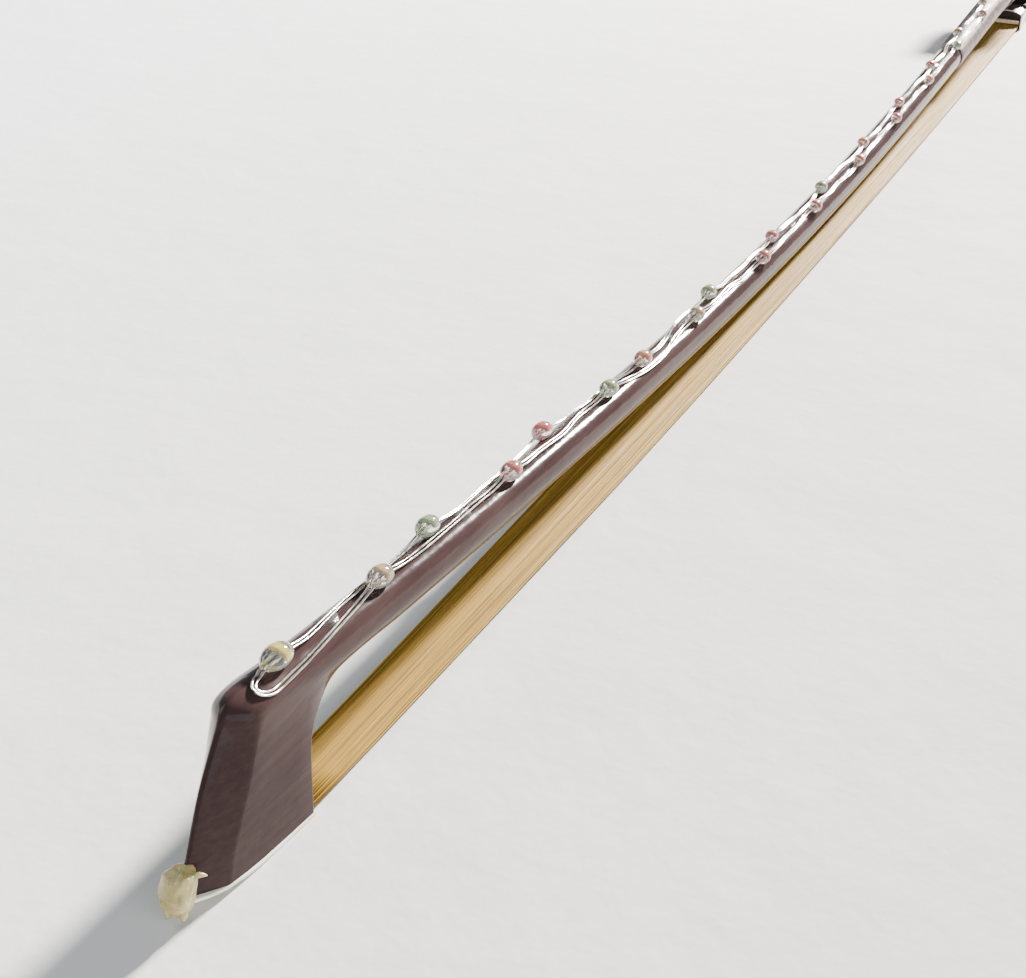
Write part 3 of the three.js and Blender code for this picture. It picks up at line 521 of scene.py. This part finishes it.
def head_loop(rear, front, rear_half, chamfer_half, chamfer, roundness):
    """One whole loop of the head, morphed towards the round stick."""
    start, end = Vector(rear), Vector(front)
    depth = (end - start).length
    half = []
    for k, (along, y) in enumerate(head_outline(rear_half, chamfer_half, depth, chamfer)):
        angle = math.pi * k / CIRCLE_STEPS
        round_along = depth * (1 - math.cos(angle)) / 2
        round_y = stick_radius(rear[0]) * math.sin(angle)
        along, y = mix(along, round_along, roundness), mix(y, round_y, roundness)
        spot = start.lerp(end, along / depth)
        half.append((spot.x, y, spot.y))
    return mirrored_loop(half)


def mirrored_loop(half):
    """A loop from its half at +Y: down that half and back up its mirror image."""
    back = [(x, -y, z) for x, y, z in reversed(half[1:-1])]
    return [Vector(point) for point in half + back]


def stick_loop(x, lift=0.0):
    """A loop round the stick, round ahead of the grip and octagonal under the frog."""
    slope = math.atan(axis_height(x + 1) - axis_height(x - 1)) / 2
    half = []
    for k in range(CIRCLE_STEPS + 1):
        angle = math.pi * k / CIRCLE_STEPS
        reach = stick_radius(x) + lift
        if x > OCTAGON_X:
            off_flat = angle - math.pi / 4 * round(angle / (math.pi / 4))
            reach /= math.cos(off_flat)
        down = reach * math.cos(angle)
        half.append((x + down * slope, reach * math.sin(angle), axis_height(x) - down))
    return mirrored_loop(half)


def spline_between(loops, steps):
    """More loops between the key ones, on smooth curves through them."""
    result = []
    for k in range(len(loops) - 1):
        a, b, c, d = (loops[max(0, min(len(loops) - 1, i))] for i in (k - 1, k, k + 1, k + 2))
        for step in range(steps):
            t = step / steps
            ring = []
            for p0, p1, p2, p3 in zip(a, b, c, d):
                ring.append(0.5 * (
                    2 * p1 + (p2 - p0) * t + (2 * p0 - 5 * p1 + 4 * p2 - p3) * t**2
                    + (3 * p1 - p0 - 3 * p2 + p3) * t**3
                ))
            result.append(ring)
    result.append(loops[-1])
    return result


def build_stick():
    head = [head_loop(*section) for section in HEAD_SECTIONS]
    head[0] = [Vector((p.x, p.y, PLATE_TOP + plate_curve(p.x))) for p in head[0]]
    head = spline_between(head + [stick_loop(29)], 5)
    round_part = [stick_loop(34.5 + 5.5 * k) for k in range(101)]
    handle_part = [stick_loop(x) for x in (OCTAGON_X + 0.3, 610, 650, STICK_END - 1, STICK_END - 0.3)]
    tail = [Vector((STICK_END, p.y * 0.93, mix(axis_height(STICK_END), p.z, 0.93))) for p in handle_part[-1]]
    pile = Pile()
    pile.loft([[place(*p) for p in loop] for loop in head + round_part + handle_part + [tail]])
    stick = pile.made("stick_and_head", "wood", sharp_degrees=40)
    bore = bpy.data.objects.new("bore", bpy.data.meshes.new("bore"))
    rod = Pile()
    rod.tube([HANDLE_MATRIX @ Vector((u * MM, 0, 0)) for u in (-14, 70)], 2.0 * MM, 16)
    bore.data.from_pydata(rod.vertices, [], rod.faces)
    bpy.context.scene.collection.objects.link(bore)
    cut_away(stick, [bore, handle_block((8, -2.4, -9), (36, 2.4, 2.6))])
    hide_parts("stick")


build_stick()

# ---------------------------------------------------------------- tip plate and glue
# x of each station of the plate, with its half width there.
PLATE_HALVES = [
    (0.8, 5.5), (-4, 5.15), (-8, 4.8), (-12, 4.45), (-15, 4.1),
    (-19, 3.5), (-22, 2.6), (-25, 1.3), (-27, 0.35),
]
PLATE_THICK, PLATE_EDGE = 0.68, 0.12
NOTCH_HALF, NOTCH_LENGTH, NOTCH_HEIGHT, NOTCH_MIDDLE = 4.9, 9, 6, -0.5


def build_tip_plate():
    """The bone plate: a thin curled sheet with softened edges, notched for the hair at its rear."""
    thick, edge = PLATE_THICK, PLATE_EDGE
    loops = []
    for x, half in PLATE_HALVES:
        low = plate_curve(x)
        half_loop = [(0, low), (half - edge, low), (half, low + edge), (half, low + thick - edge)]
        half_loop += [(half - edge, low + thick), (0, low + thick)]
        back = [(-y, z) for y, z in reversed(half_loop[1:-1])]
        loops.append([place(x, y, z) for y, z in half_loop + back])
    pile = Pile()
    pile.loft(loops)
    plate = pile.made("tip_plate_curled", "bone")
    mesh = bpy.data.meshes.new("notch")
    work = bmesh.new()
    bmesh.ops.create_cube(work, size=1)
    size = Vector((NOTCH_LENGTH, 2 * NOTCH_HALF, NOTCH_HEIGHT)) * MM
    bmesh.ops.scale(work, vec=size, verts=work.verts)
    bmesh.ops.translate(work, vec=place(NOTCH_MIDDLE, 0, 0), verts=work.verts)
    work.to_mesh(mesh)
    work.free()
    cutter = bpy.data.objects.new("notch", mesh)
    bpy.context.scene.collection.objects.link(cutter)
    cut_away(plate, [cutter])
    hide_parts("tip_plate", "tip_liner")


def lump(name, centre, size, roughness, seed, detail=4):
    """A rounded lump of glue, pushed in and out by noise."""
    mesh = bpy.data.meshes.new(name)
    work = bmesh.new()
    bmesh.ops.create_icosphere(work, subdivisions=detail, radius=1)
    for vertex in work.verts:
        direction = vertex.co.normalized()
        push = noise.fractal(direction * 1.3 + Vector((seed, 0, 0)), 1.1, 2.1, 3)
        scaled = Vector(a * b for a, b in zip(direction, size))
        vertex.co = place(*(Vector(centre) + scaled * (1 + roughness * push)))
    for vertex in work.verts:
        vertex.co.z = max(vertex.co.z, TABLE + 0.1 * MM)
    work.to_mesh(mesh)
    work.free()
    return shown(mesh, name, "glue", sharp_degrees=70)


# Level slices of the glue lump: height, x of its middle, half length, half width.
GLUE_SLICES = [
    (1.2, -26.2, 0.7, 0.8), (1.6, -26.2, 1.2, 1.2), (2.4, -26.1, 1.9, 1.8), (3.4, -25.9, 2.35, 2.2),
    (4.5, -25.7, 2.5, 2.35), (5.6, -25.4, 2.45, 2.3), (6.5, -25.1, 2.4, 2.2), (7.1, -24.9, 2.35, 2.1),
    (7.4, -24.8, 2.1, 1.85), (7.55, -24.8, 1.6, 1.4), (7.6, -24.8, 0.6, 0.5),
]
GLUE_FACETS = 56
GLUE_SQUARENESS = 2.6  # 2 would make round slices
GLUE_RAGGED = 0.17
GLUE_WAVE = 0.35


def build_nose_glue():
    """The glue that caps the broken nose: one ragged flat-topped lump with a barb drawn off it."""
    rings = []
    for height, middle, half_x, half_y in GLUE_SLICES:
        ring = []
        for k in range(GLUE_FACETS):
            angle = 2 * math.pi * k / GLUE_FACETS
            c, s = math.cos(angle), math.sin(angle)
            square = (abs(c) ** GLUE_SQUARENESS + abs(s) ** GLUE_SQUARENESS) ** (-1 / GLUE_SQUARENESS)
            ragged = noise.fractal(Vector((c * 1.5, s * 1.5, height * 0.45 + 2)), 1.0, 2.1, 4)
            reach = square * (1 + GLUE_RAGGED * ragged)
            wavy = GLUE_WAVE * noise.noise(Vector((c * 1.2, s * 1.2, 7.7))) * min(1, height / 4)
            ring.append(Vector((middle + half_x * reach * c, half_y * reach * s, height + wavy)))
        rings.append(ring)
    pile = Pile()
    pile.loft([[place(*point) for point in ring] for ring in spline_between(rings, 4)])
    body = pile.made("nose_lump", "glue", sharp_degrees=75)
    lump("nose_run_near", (-26.6, -1.4, 2.0), (0.7, 0.55, 1.3), 0.16, 1.4, detail=3)
    lump("nose_run_front", (-27.4, 0.7, 2.6), (0.75, 0.8, 1.7), 0.16, 5.2, detail=3)
    barb = Pile()
    path = [
        place(-24.0, -1.7, 6.9), place(-23.5, -2.3, 6.9), place(-23.1, -2.7, 6.7), place(-22.8, -3.0, 6.5),
    ]
    barb.tube(path, [0.5 * MM, 0.42 * MM, 0.28 * MM, 0.1 * MM])
    barb.made("nose_barb", "glue", sharp_degrees=80)
    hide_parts("nose_glue")


build_tip_plate()
build_nose_glue()

# ---------------------------------------------------------------- hair
HAIR_COUNT = 230
HAIR_RADIUS = 0.13
HAIR_HALF_TIP = 4.6
HAIR_HALF_FROG = 6.1
HAIR_SAG = -2.2


def hair_spread(t):
    """The ribbon's half width and the y of its middle, at a share of the way to the frog."""
    return mix(HAIR_HALF_TIP, HAIR_HALF_FROG, min(1, t * 5)), HAIR_SAG * math.sin(math.pi * t)


def build_hair():
    """Separate hairs that fan out from the head to the ferrule, over a thinner solid ribbon."""
    low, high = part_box("hair_ribbon")
    start, end = (low.x - HEAD_CORNER) / MM + 2.6, HANDLE_X + 8
    floor_start = (low.z - TABLE) / MM
    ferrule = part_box("ferrule")[0]
    floor_end = (ferrule.z - TABLE) / MM + 1.2
    rng = random.Random(11)
    strands = Pile()
    for k in range(HAIR_COUNT):
        across = mix(-1, 1, (k * 0.618034) % 1) * 0.985
        level = mix(0.12, 0.9, rng.random())
        drift, wave, phase = rng.gauss(0, 0.05), rng.uniform(0.05, 0.22), rng.uniform(0, 6.3)
        points, count = [], 46
        for i in range(count + 1):
            t = i / count
            half, middle = hair_spread(t)
            y = (across + drift * math.sin(math.pi * t)) * half + wave * math.sin(9 * t + phase)
            y = middle + max(-half, min(half, y))
            z = mix(floor_start, floor_end, t) + level * 1.0 + 0.08 * math.sin(14 * t + phase)
            points.append(place(mix(start, end, t), y, max(z, 0.16)))
        strands.tube(points, HAIR_RADIUS * rng.uniform(0.75, 1.15) * MM, 4)
    hairs = strands.made("hair_strands", "hair", ride=False, sharp_degrees=100)
    core = Pile()
    loops = []
    for i in range(31):
        t = i / 30
        half, middle = hair_spread(t)
        half -= 0.25
        z = mix(floor_start, floor_end, t) + 0.25
        x = mix(start, end, t)
        corners = ((-half, 0), (half, 0), (half, 0.5), (-half, 0.5))
        loops.append([place(x, middle + y, z + h) for y, h in corners])
    core.loft(loops)
    ribbon = core.made("hair_core", "hair", ride=False)
    for piece in (hairs, ribbon):
        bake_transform(piece)
    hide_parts("hair_ribbon")


build_hair()

# ---------------------------------------------------------------- grip
def build_winding():
    """Silver wire wound close round the stick, as one long helix."""
    low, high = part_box("silver_winding")
    start, end = ((corner.x - HEAD_CORNER) / MM for corner in (low, high))
    pitch, radius, steps = 0.62, 0.31, 14
    count = int((end - start) / pitch * steps)
    points = []
    for k in range(count + 1):
        x = mix(start + radius, end - radius, k / count)
        points.append(over_stick(x, 360 * k / steps, 0.32))
    pile = Pile()
    pile.tube(points, radius * MM, 6)
    winding = pile.made("silver_winding_wire", "silver", sharp_degrees=80)
    tones = [(0.2, 0.165, 0.16), (0.42, 0.36, 0.35)]
    winding.data.materials[0] = mottled("dull_winding", tones, 300, rough=(0.38, 0.5), metal=1)
    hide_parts("silver_winding")


def build_leather():
    """The thumb leather: a sleeve with rolled ends and a lapped seam on its far side."""
    low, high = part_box("thumb_leather")
    start, end = ((corner.x - HEAD_CORNER) / MM for corner in (low, high))
    loops = []
    for k in range(25):
        t = k / 24
        x = mix(start, end, t)
        swell = 1 - 0.45 * max(0, 1 - min(t, 1 - t) / 0.05) ** 2
        lift = 0.95 * swell
        ring = []
        for i in range(48):
            angle = 2 * math.pi * i / 48
            seam = 0.12 * math.exp(-((angle - math.pi / 2) / 0.12) ** 2)
            off_flat = angle - math.pi / 4 * round(angle / (math.pi / 4))
            reach = (stick_radius(x) + lift + seam) / math.cos(off_flat * 0.8)
            ring.append(place(x, reach * math.sin(angle), axis_height(x) - reach * math.cos(angle)))
        loops.append(ring)
    pile = Pile()
    pile.loft(loops)
    leather = pile.made("thumb_leather_sleeve", "leather", sharp_degrees=60)
    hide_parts("thumb_leather")


build_winding()
build_leather()

# ---------------------------------------------------------------- light string
# Angle round the stick, in degrees towards -Y, of each lane of the string at x. The lanes keep near
# the CAD cord's and reach up to about 14 degrees further round, towards -Y, past the first lamps.
LANE_A = [
    (-4, 8), (8, 6), (20, -10), (30, -15), (49, -15), (77, -20),
    (98, -25), (125, -17), (147, 8), (175, -14), (250, -2), (547, -4),
]
LANE_B = [
    (-4, 50), (4, 43), (12, 32), (20, 20), (29, 9), (49, 14), (77, 10),
    (125, 8), (147, 36), (175, 14), (250, 27), (550, 26), (574, 14),
]
LAMP_PITCH = 50
LAMPS_A = [0, 49, 98, 145, 195] + [245 + LAMP_PITCH * k for k in range(7)]
LAMPS_B = [29, 77, 125, 179, 229] + [279 + LAMP_PITCH * k for k in range(6)]
LAMP_LIFT = 1.55
WIRE_RADIUS = 0.2
WIRE_LOW = 0.34
TWIN_GAP = 0.27
WIRE_RISE = 5.5  # length over which a wire rises to a lamp
WIRE_CLOSE = 4  # length over which two wires close up at a lamp
WIRE_WAVER = 0.35
WANDER = 11  # degrees
WANDER_LENGTH = 12
LANE_STEP = 2.5
STRAIGHT_END = 30  # the lanes change angle evenly ahead of here and ease in and out behind
HEAD_TURN_X = LANE_A[0][0]
HEAD_TURN_REACH = -3.4
BOX_LEAD_X = 572

CHIP_COLOURS = {
    "yellow": [(0.62, 0.46, 0.003), (0.82, 0.66, 0.012)],
    "amber": [(0.42, 0.24, 0.05), (0.56, 0.36, 0.1)],
    "green": [(0.2, 0.3, 0.08), (0.34, 0.42, 0.16)],
    "red": [(0.42, 0.016, 0.008), (0.62, 0.035, 0.015)],
    "pink": [(0.55, 0.03, 0.025), (0.75, 0.07, 0.05)],
    "orange": [(0.6, 0.11, 0.008), (0.76, 0.2, 0.02)],
}
for colour, tones in CHIP_COLOURS.items():
    LOOKS["chip_" + colour] = mottled("chip_" + colour, tones, 1500, rough=(0.2, 0.35))
RESINS = {
    "yellow": clear_resin("resin_clear", (0.95, 0.96, 0.9), 0.03),
    "amber": clear_resin("resin_smoky", (0.95, 0.92, 0.88), 0.05),
    "green": clear_resin("resin_green", (0.92, 0.96, 0.86), 0.05),
    "red": clear_resin("resin_red", (0.96, 0.84, 0.8), 0.05),
    "pink": clear_resin("resin_pink", (0.97, 0.82, 0.8), 0.05),
    "orange": clear_resin("resin_orange", (0.97, 0.88, 0.78), 0.05),
}


def lane_angle(lane, x):
    if x <= lane[0][0]:
        return lane[0][1]
    for (x0, a0), (x1, a1) in zip(lane, lane[1:]):
        if x <= x1:
            t = (x - x0) / (x1 - x0)
            return mix(a0, a1, t if x1 < STRAIGHT_END else smooth_step(t))
    return lane[-1][1]


def nearness(x, lamps, length):
    """1 at a lamp, falling to 0 over a length on each side of it."""
    return max(math.exp(-(((x - lamp) / length) ** 2)) for lamp in lamps)


def wire_lift(x, lamps, seed):
    """The wire lies low on the wood, rises into each lamp, and wavers a little in between."""
    near = nearness(x, lamps, WIRE_RISE)
    waver = WIRE_WAVER * (noise.noise(Vector((x / 11, seed, 0))) + 0.5) * smooth_step((x - 20) / 50)
    return mix(WIRE_LOW + max(0, waver), LAMP_LIFT, near)


def wander(x, seed):
    """Small swings of a lane round the stick, in degrees."""
    return WANDER * noise.noise(Vector((x / WANDER_LENGTH, seed, 3.3))) * smooth_step((x - 35) / 40)


def lane_points(lane, lamps, seed, strand):
    """The path of one of a lane's two wires; strand is -1 or 1."""
    first, last = lane[0][0], lane[-1][0]
    count = int((last - first) / LANE_STEP)
    points = []
    for k in range(count + 1):
        x = mix(first, last, k / count)
        near = nearness(x, lamps, WIRE_CLOSE)
        gap = TWIN_GAP * (1 + 0.7 * abs(noise.noise(Vector((x / 9, seed, 8)))) - 0.2 * near)
        side = math.degrees(strand * gap / (stick_radius(x) + 0.4))
        angle = lane_angle(lane, x) + wander(x, seed) * (1 - near) + side
        points.append(over_stick(x, angle, wire_lift(x, lamps, seed)))
    return points


def turn_points(x, start, end, reach, strand):
    """A wire's turn over the stick from one lane to another, bulging by reach along x."""
    points = []
    for k in range(1, 16):
        t = k / 16
        bulge = (reach + strand * math.copysign(TWIN_GAP, reach)) * math.sin(math.pi * t)
        angle = mix(start, end, (1 - math.cos(math.pi * t)) / 2)
        points.append(over_stick(x + bulge, angle, WIRE_LOW + 0.15))
    return points


def build_wires():
    """Two bare wires side by side along the whole folded route, from the box to the string's end."""
    pile = Pile()
    for strand in (-1, 1):
        side = math.degrees(TWIN_GAP / stick_radius(0))
        a = lane_points(LANE_A, LAMPS_A, 1.5, strand)
        b = lane_points(LANE_B, LAMPS_B, 4.5, -strand)
        start, end = LANE_A[0][1] + strand * side, LANE_B[0][1] - strand * side
        head_turn = turn_points(HEAD_TURN_X, start, end, HEAD_TURN_REACH, -strand)
        pile.tube(list(reversed(b)) + list(reversed(head_turn)) + a, WIRE_RADIUS * MM)
        lead = [over_stick(BOX_LEAD_X, LANE_B[-1][1] - strand * side, WIRE_LOW), over_stick(589, 9, 1.8)]
        lead += [over_stick(604, 3 - strand * 1.5, 2.6), over_stick(612, -strand * 1.5, 4.2)]
        lead += [over_stick(618.5, -strand * 1.5, 4.9)]
        pile.tube(lead, WIRE_RADIUS * MM)
    wires = pile.made("twin_wires", "light_string_wire", sharp_degrees=80)
    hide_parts("light_wire")


def lamp_frame(lane, x):
    """A matrix at the middle of a lamp, its X along the lane and its Z away from the wood."""
    centre = over_stick(x, lane_angle(lane, x), LAMP_LIFT)
    ahead = (over_stick(x + 2, lane_angle(lane, x + 2), LAMP_LIFT) - centre).normalized()
    out = centre - place(x, 0, axis_height(x))
    side = out.cross(ahead).normalized()
    up = ahead.cross(side)
    return Matrix.Translation(centre) @ Matrix((ahead, side, up)).transposed().to_4x4()


# A drop's outline: mm along the wire from its middle, and its radius there.
LAMP_OUTLINE = [
    (-3.1, 0.12), (-2.7, 0.48), (-2.0, 1.05), (-1.1, 1.45), (-0.1, 1.6),
    (0.9, 1.5), (1.75, 1.12), (2.4, 0.58), (2.85, 0.14),
]
CHIP_OUTLINE = [(-0.85, -0.3), (0.85, -0.3), (0.85, 0.5), (-0.85, 0.5)]
CHIP_ENDS = (0.1, 1.0)


def build_lamp(name, lane, x, colour, size, node=None):
    """A drop of resin round a coloured chip."""
    spot = lamp_frame(lane, x)
    drop = Pile()
    loops = []
    for along, radius in LAMP_OUTLINE:
        turns = [2 * math.pi * i / 20 for i in range(20)]
        ring = [Vector((along, radius * math.cos(a), radius * 0.94 * math.sin(a))) for a in turns]
        loops.append([spot @ (point * MM * size) for point in ring])
    drop.loft(loops)
    resin = drop.made(name, "lamp_resin", sharp_degrees=180)
    resin.data.materials[0] = RESINS[colour]
    chip = Pile()
    chip.loft([[spot @ (Vector((end, y, z)) * MM * size) for y, z in CHIP_OUTLINE] for end in CHIP_ENDS])
    chip_piece = chip.made(name + "_chip", "chip_" + colour)
    if node:
        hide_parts(node)


def build_lamps():
    """Each lamp of the string; the first ones stand for the CAD's solid drops."""
    near = ["yellow", "amber", "green", "red", "pink", "green", "orange", "amber", "green", "red"]
    rng = random.Random(5)
    known = [(x, LANE_A) for x in LAMPS_A[:5]] + [(x, LANE_B) for x in LAMPS_B[:5]]
    known.sort(key=lambda lamp: lamp[0])
    for k, (x, lane) in enumerate(known):
        build_lamp(f"lamp_{k + 1:02d}", lane, x, near[k], 1.22 if k else 1.3, f"led_bead_{k + 1:02d}")
    others = [(x, LANE_A) for x in LAMPS_A[5:]] + [(x, LANE_B) for x in LAMPS_B[5:]]
    for k, (x, lane) in enumerate(others):
        build_lamp(f"lamp_{k + 11:02d}", lane, x, rng.choice(list(CHIP_COLOURS)), rng.uniform(1.1, 1.22))


build_wires()
build_lamps()

CLEAR_GLUE = clear_resin("clear_glue", (0.97, 0.96, 0.92), 0.08)
GLUE_DABS = 6
GLUE_SUNK = 0.15


def build_string_glue(number):
    """One dab of clear glue on top of the stick, under the string."""
    low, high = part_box(f"glue_dab_{number}")
    x = ((low.x + high.x) / 2 - HEAD_CORNER) / MM
    top = axis_height(x) + stick_radius(x) - GLUE_SUNK
    dab = lump(f"string_glue_{number}", (x, 0, top), (2.3, 1.7, 0.55), 0.25, number)
    dab.data.materials[0] = CLEAR_GLUE
    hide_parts(f"glue_dab_{number}")


for number in range(1, GLUE_DABS + 1):
    build_string_glue(number)

# ---------------------------------------------------------------- frog, button and battery box
ROUNDED = {
    "frog_block": 0.35, "underslide": 0.2, "ferrule": 0.18, "heel_plate": 0.2, "eye_ring_left": 0.15,
    "eye_ring_right": 0.15, "pearl_slide": 0.08, "button_ebony": 0.3, "button_ring_front": 0.25,
    "button_ring_rear": 0.3, "button_pearl": 0.2, "battery_case": 0.5, "battery_lid": 0.2,
    "power_switch": 0.2, "foam_pad": 0.2, "coin_cell_lower": 0.15, "coin_cell_upper": 0.15,
    "eyelet": 0.2, "screw_rod": 0.15,
}
for node_name, bevel in ROUNDED.items():
    refined(node_name, bevel)

# ---------------------------------------------------------------- table, light and camera
def cloth_with_painted_light():
    """Pale matt cloth with painted light in its colour: lighter and cooler on the far side, darker and warmer
    on the near side, a painted falloff of light across the table.
    """
    material, nodes, links, shader = new_material("cloth_with_painted_light")
    where = nodes.new("ShaderNodeTexCoord")
    split = nodes.new("ShaderNodeSeparateXYZ")
    links.new(where.outputs["Object"], split.inputs["Vector"])
    span = nodes.new("ShaderNodeMapRange")
    span.inputs["From Min"].default_value = -0.12
    span.inputs["From Max"].default_value = 0.3
    links.new(split.outputs["Y"], span.inputs["Value"])
    # painted light: this ramp along Y darkens and warms the near side and lightens and cools the far side
    stops = [(0, (0.58, 0.565, 0.52)), (0.35, (0.68, 0.68, 0.65)), (1, (0.76, 0.79, 0.8))]
    links.new(colour_ramp(nodes, links, span.outputs["Result"], stops), shader.inputs["Base Color"])
    cloud = noise_texture(nodes, links, (1, 1, 1), 25, 5)
    links.new(value_range(nodes, links, cloud, 0.75, 0.9), shader.inputs["Roughness"])
    add_bump(nodes, links, shader, cloud, 0.3, 0.004)
    shader.inputs["Specular IOR Level"].default_value = 0.15
    return material


def build_table():
    mesh = bpy.data.meshes.new("table")
    reach = 6.0
    corners = [(-reach, -reach, 0), (reach, -reach, 0), (reach, reach, 0), (-reach, reach, 0)]
    mesh.from_pydata(corners, [], [(0, 1, 2, 3)])
    table = bpy.data.objects.new("table", mesh)
    table.location.z = TABLE
    bpy.context.scene.collection.objects.link(table)
    mesh.materials.append(cloth_with_painted_light())


def area_light(name, azimuth, elevation, distance, size, power, colour):
    """A soft square light aimed at the bow's head from a direction in degrees."""
    data = bpy.data.lights.new(name, "AREA")
    data.size = size
    data.energy = power
    data.color = colour
    lamp = bpy.data.objects.new(name, data)
    a, e = math.radians(azimuth), math.radians(elevation)
    towards = Vector((math.cos(a) * math.cos(e), math.sin(a) * math.cos(e), math.sin(e)))
    lamp.location = place(60, 0, 0) + towards * distance
    lamp.rotation_euler = (-towards).to_track_quat("-Z", "Y").to_euler()
    bpy.context.scene.collection.objects.link(lamp)


def build_world():
    world = bpy.data.worlds.new("room")
    bpy.context.scene.world = world
    world.use_nodes = True
    background = world.node_tree.nodes["Background"]
    background.inputs["Color"].default_value = (0.93, 0.96, 1.0, 1)
    background.inputs["Strength"].default_value = 0.33


CAMERA_PLACE = (-147.07, -105.59, 155.36)
CAMERA_TURN, CAMERA_DOWN, CAMERA_ROLL = 24.94, 29.12, 1.48
CAMERA_LENS = 53.3


def build_camera():
    """A camera ahead of the bow's head on its near side, looking down along the stick."""
    data = bpy.data.cameras.new("camera")
    data.lens = CAMERA_LENS
    data.sensor_width = 36
    data.clip_start = 0.01
    camera = bpy.data.objects.new("camera", data)
    turn, down, roll = (math.radians(angle) for angle in (CAMERA_TURN, CAMERA_DOWN, CAMERA_ROLL))
    ahead = Vector((math.cos(turn) * math.cos(down), math.sin(turn) * math.cos(down), -math.sin(down)))
    right = ahead.cross(Vector((0, 0, 1))).normalized()
    up = right.cross(ahead)
    right, up = right * math.cos(roll) + up * math.sin(roll), up * math.cos(roll) - right * math.sin(roll)
    facing = Matrix((right, up, -ahead)).transposed().to_4x4()
    camera.matrix_world = Matrix.Translation(place(*CAMERA_PLACE)) @ facing
    bpy.context.scene.collection.objects.link(camera)
    bpy.context.scene.camera = camera


build_table()
area_light("lamp_by_the_frog", -9, 24, 3.0, 0.3, 740, (1.0, 0.965, 0.91))
area_light("far_window", 105, 30, 1.1, 0.7, 8, (0.82, 0.9, 1.0))
area_light("wall_bounce", -112, 13, 1.2, 1.0, 14, (0.86, 0.9, 1.0))
build_world()
build_camera()
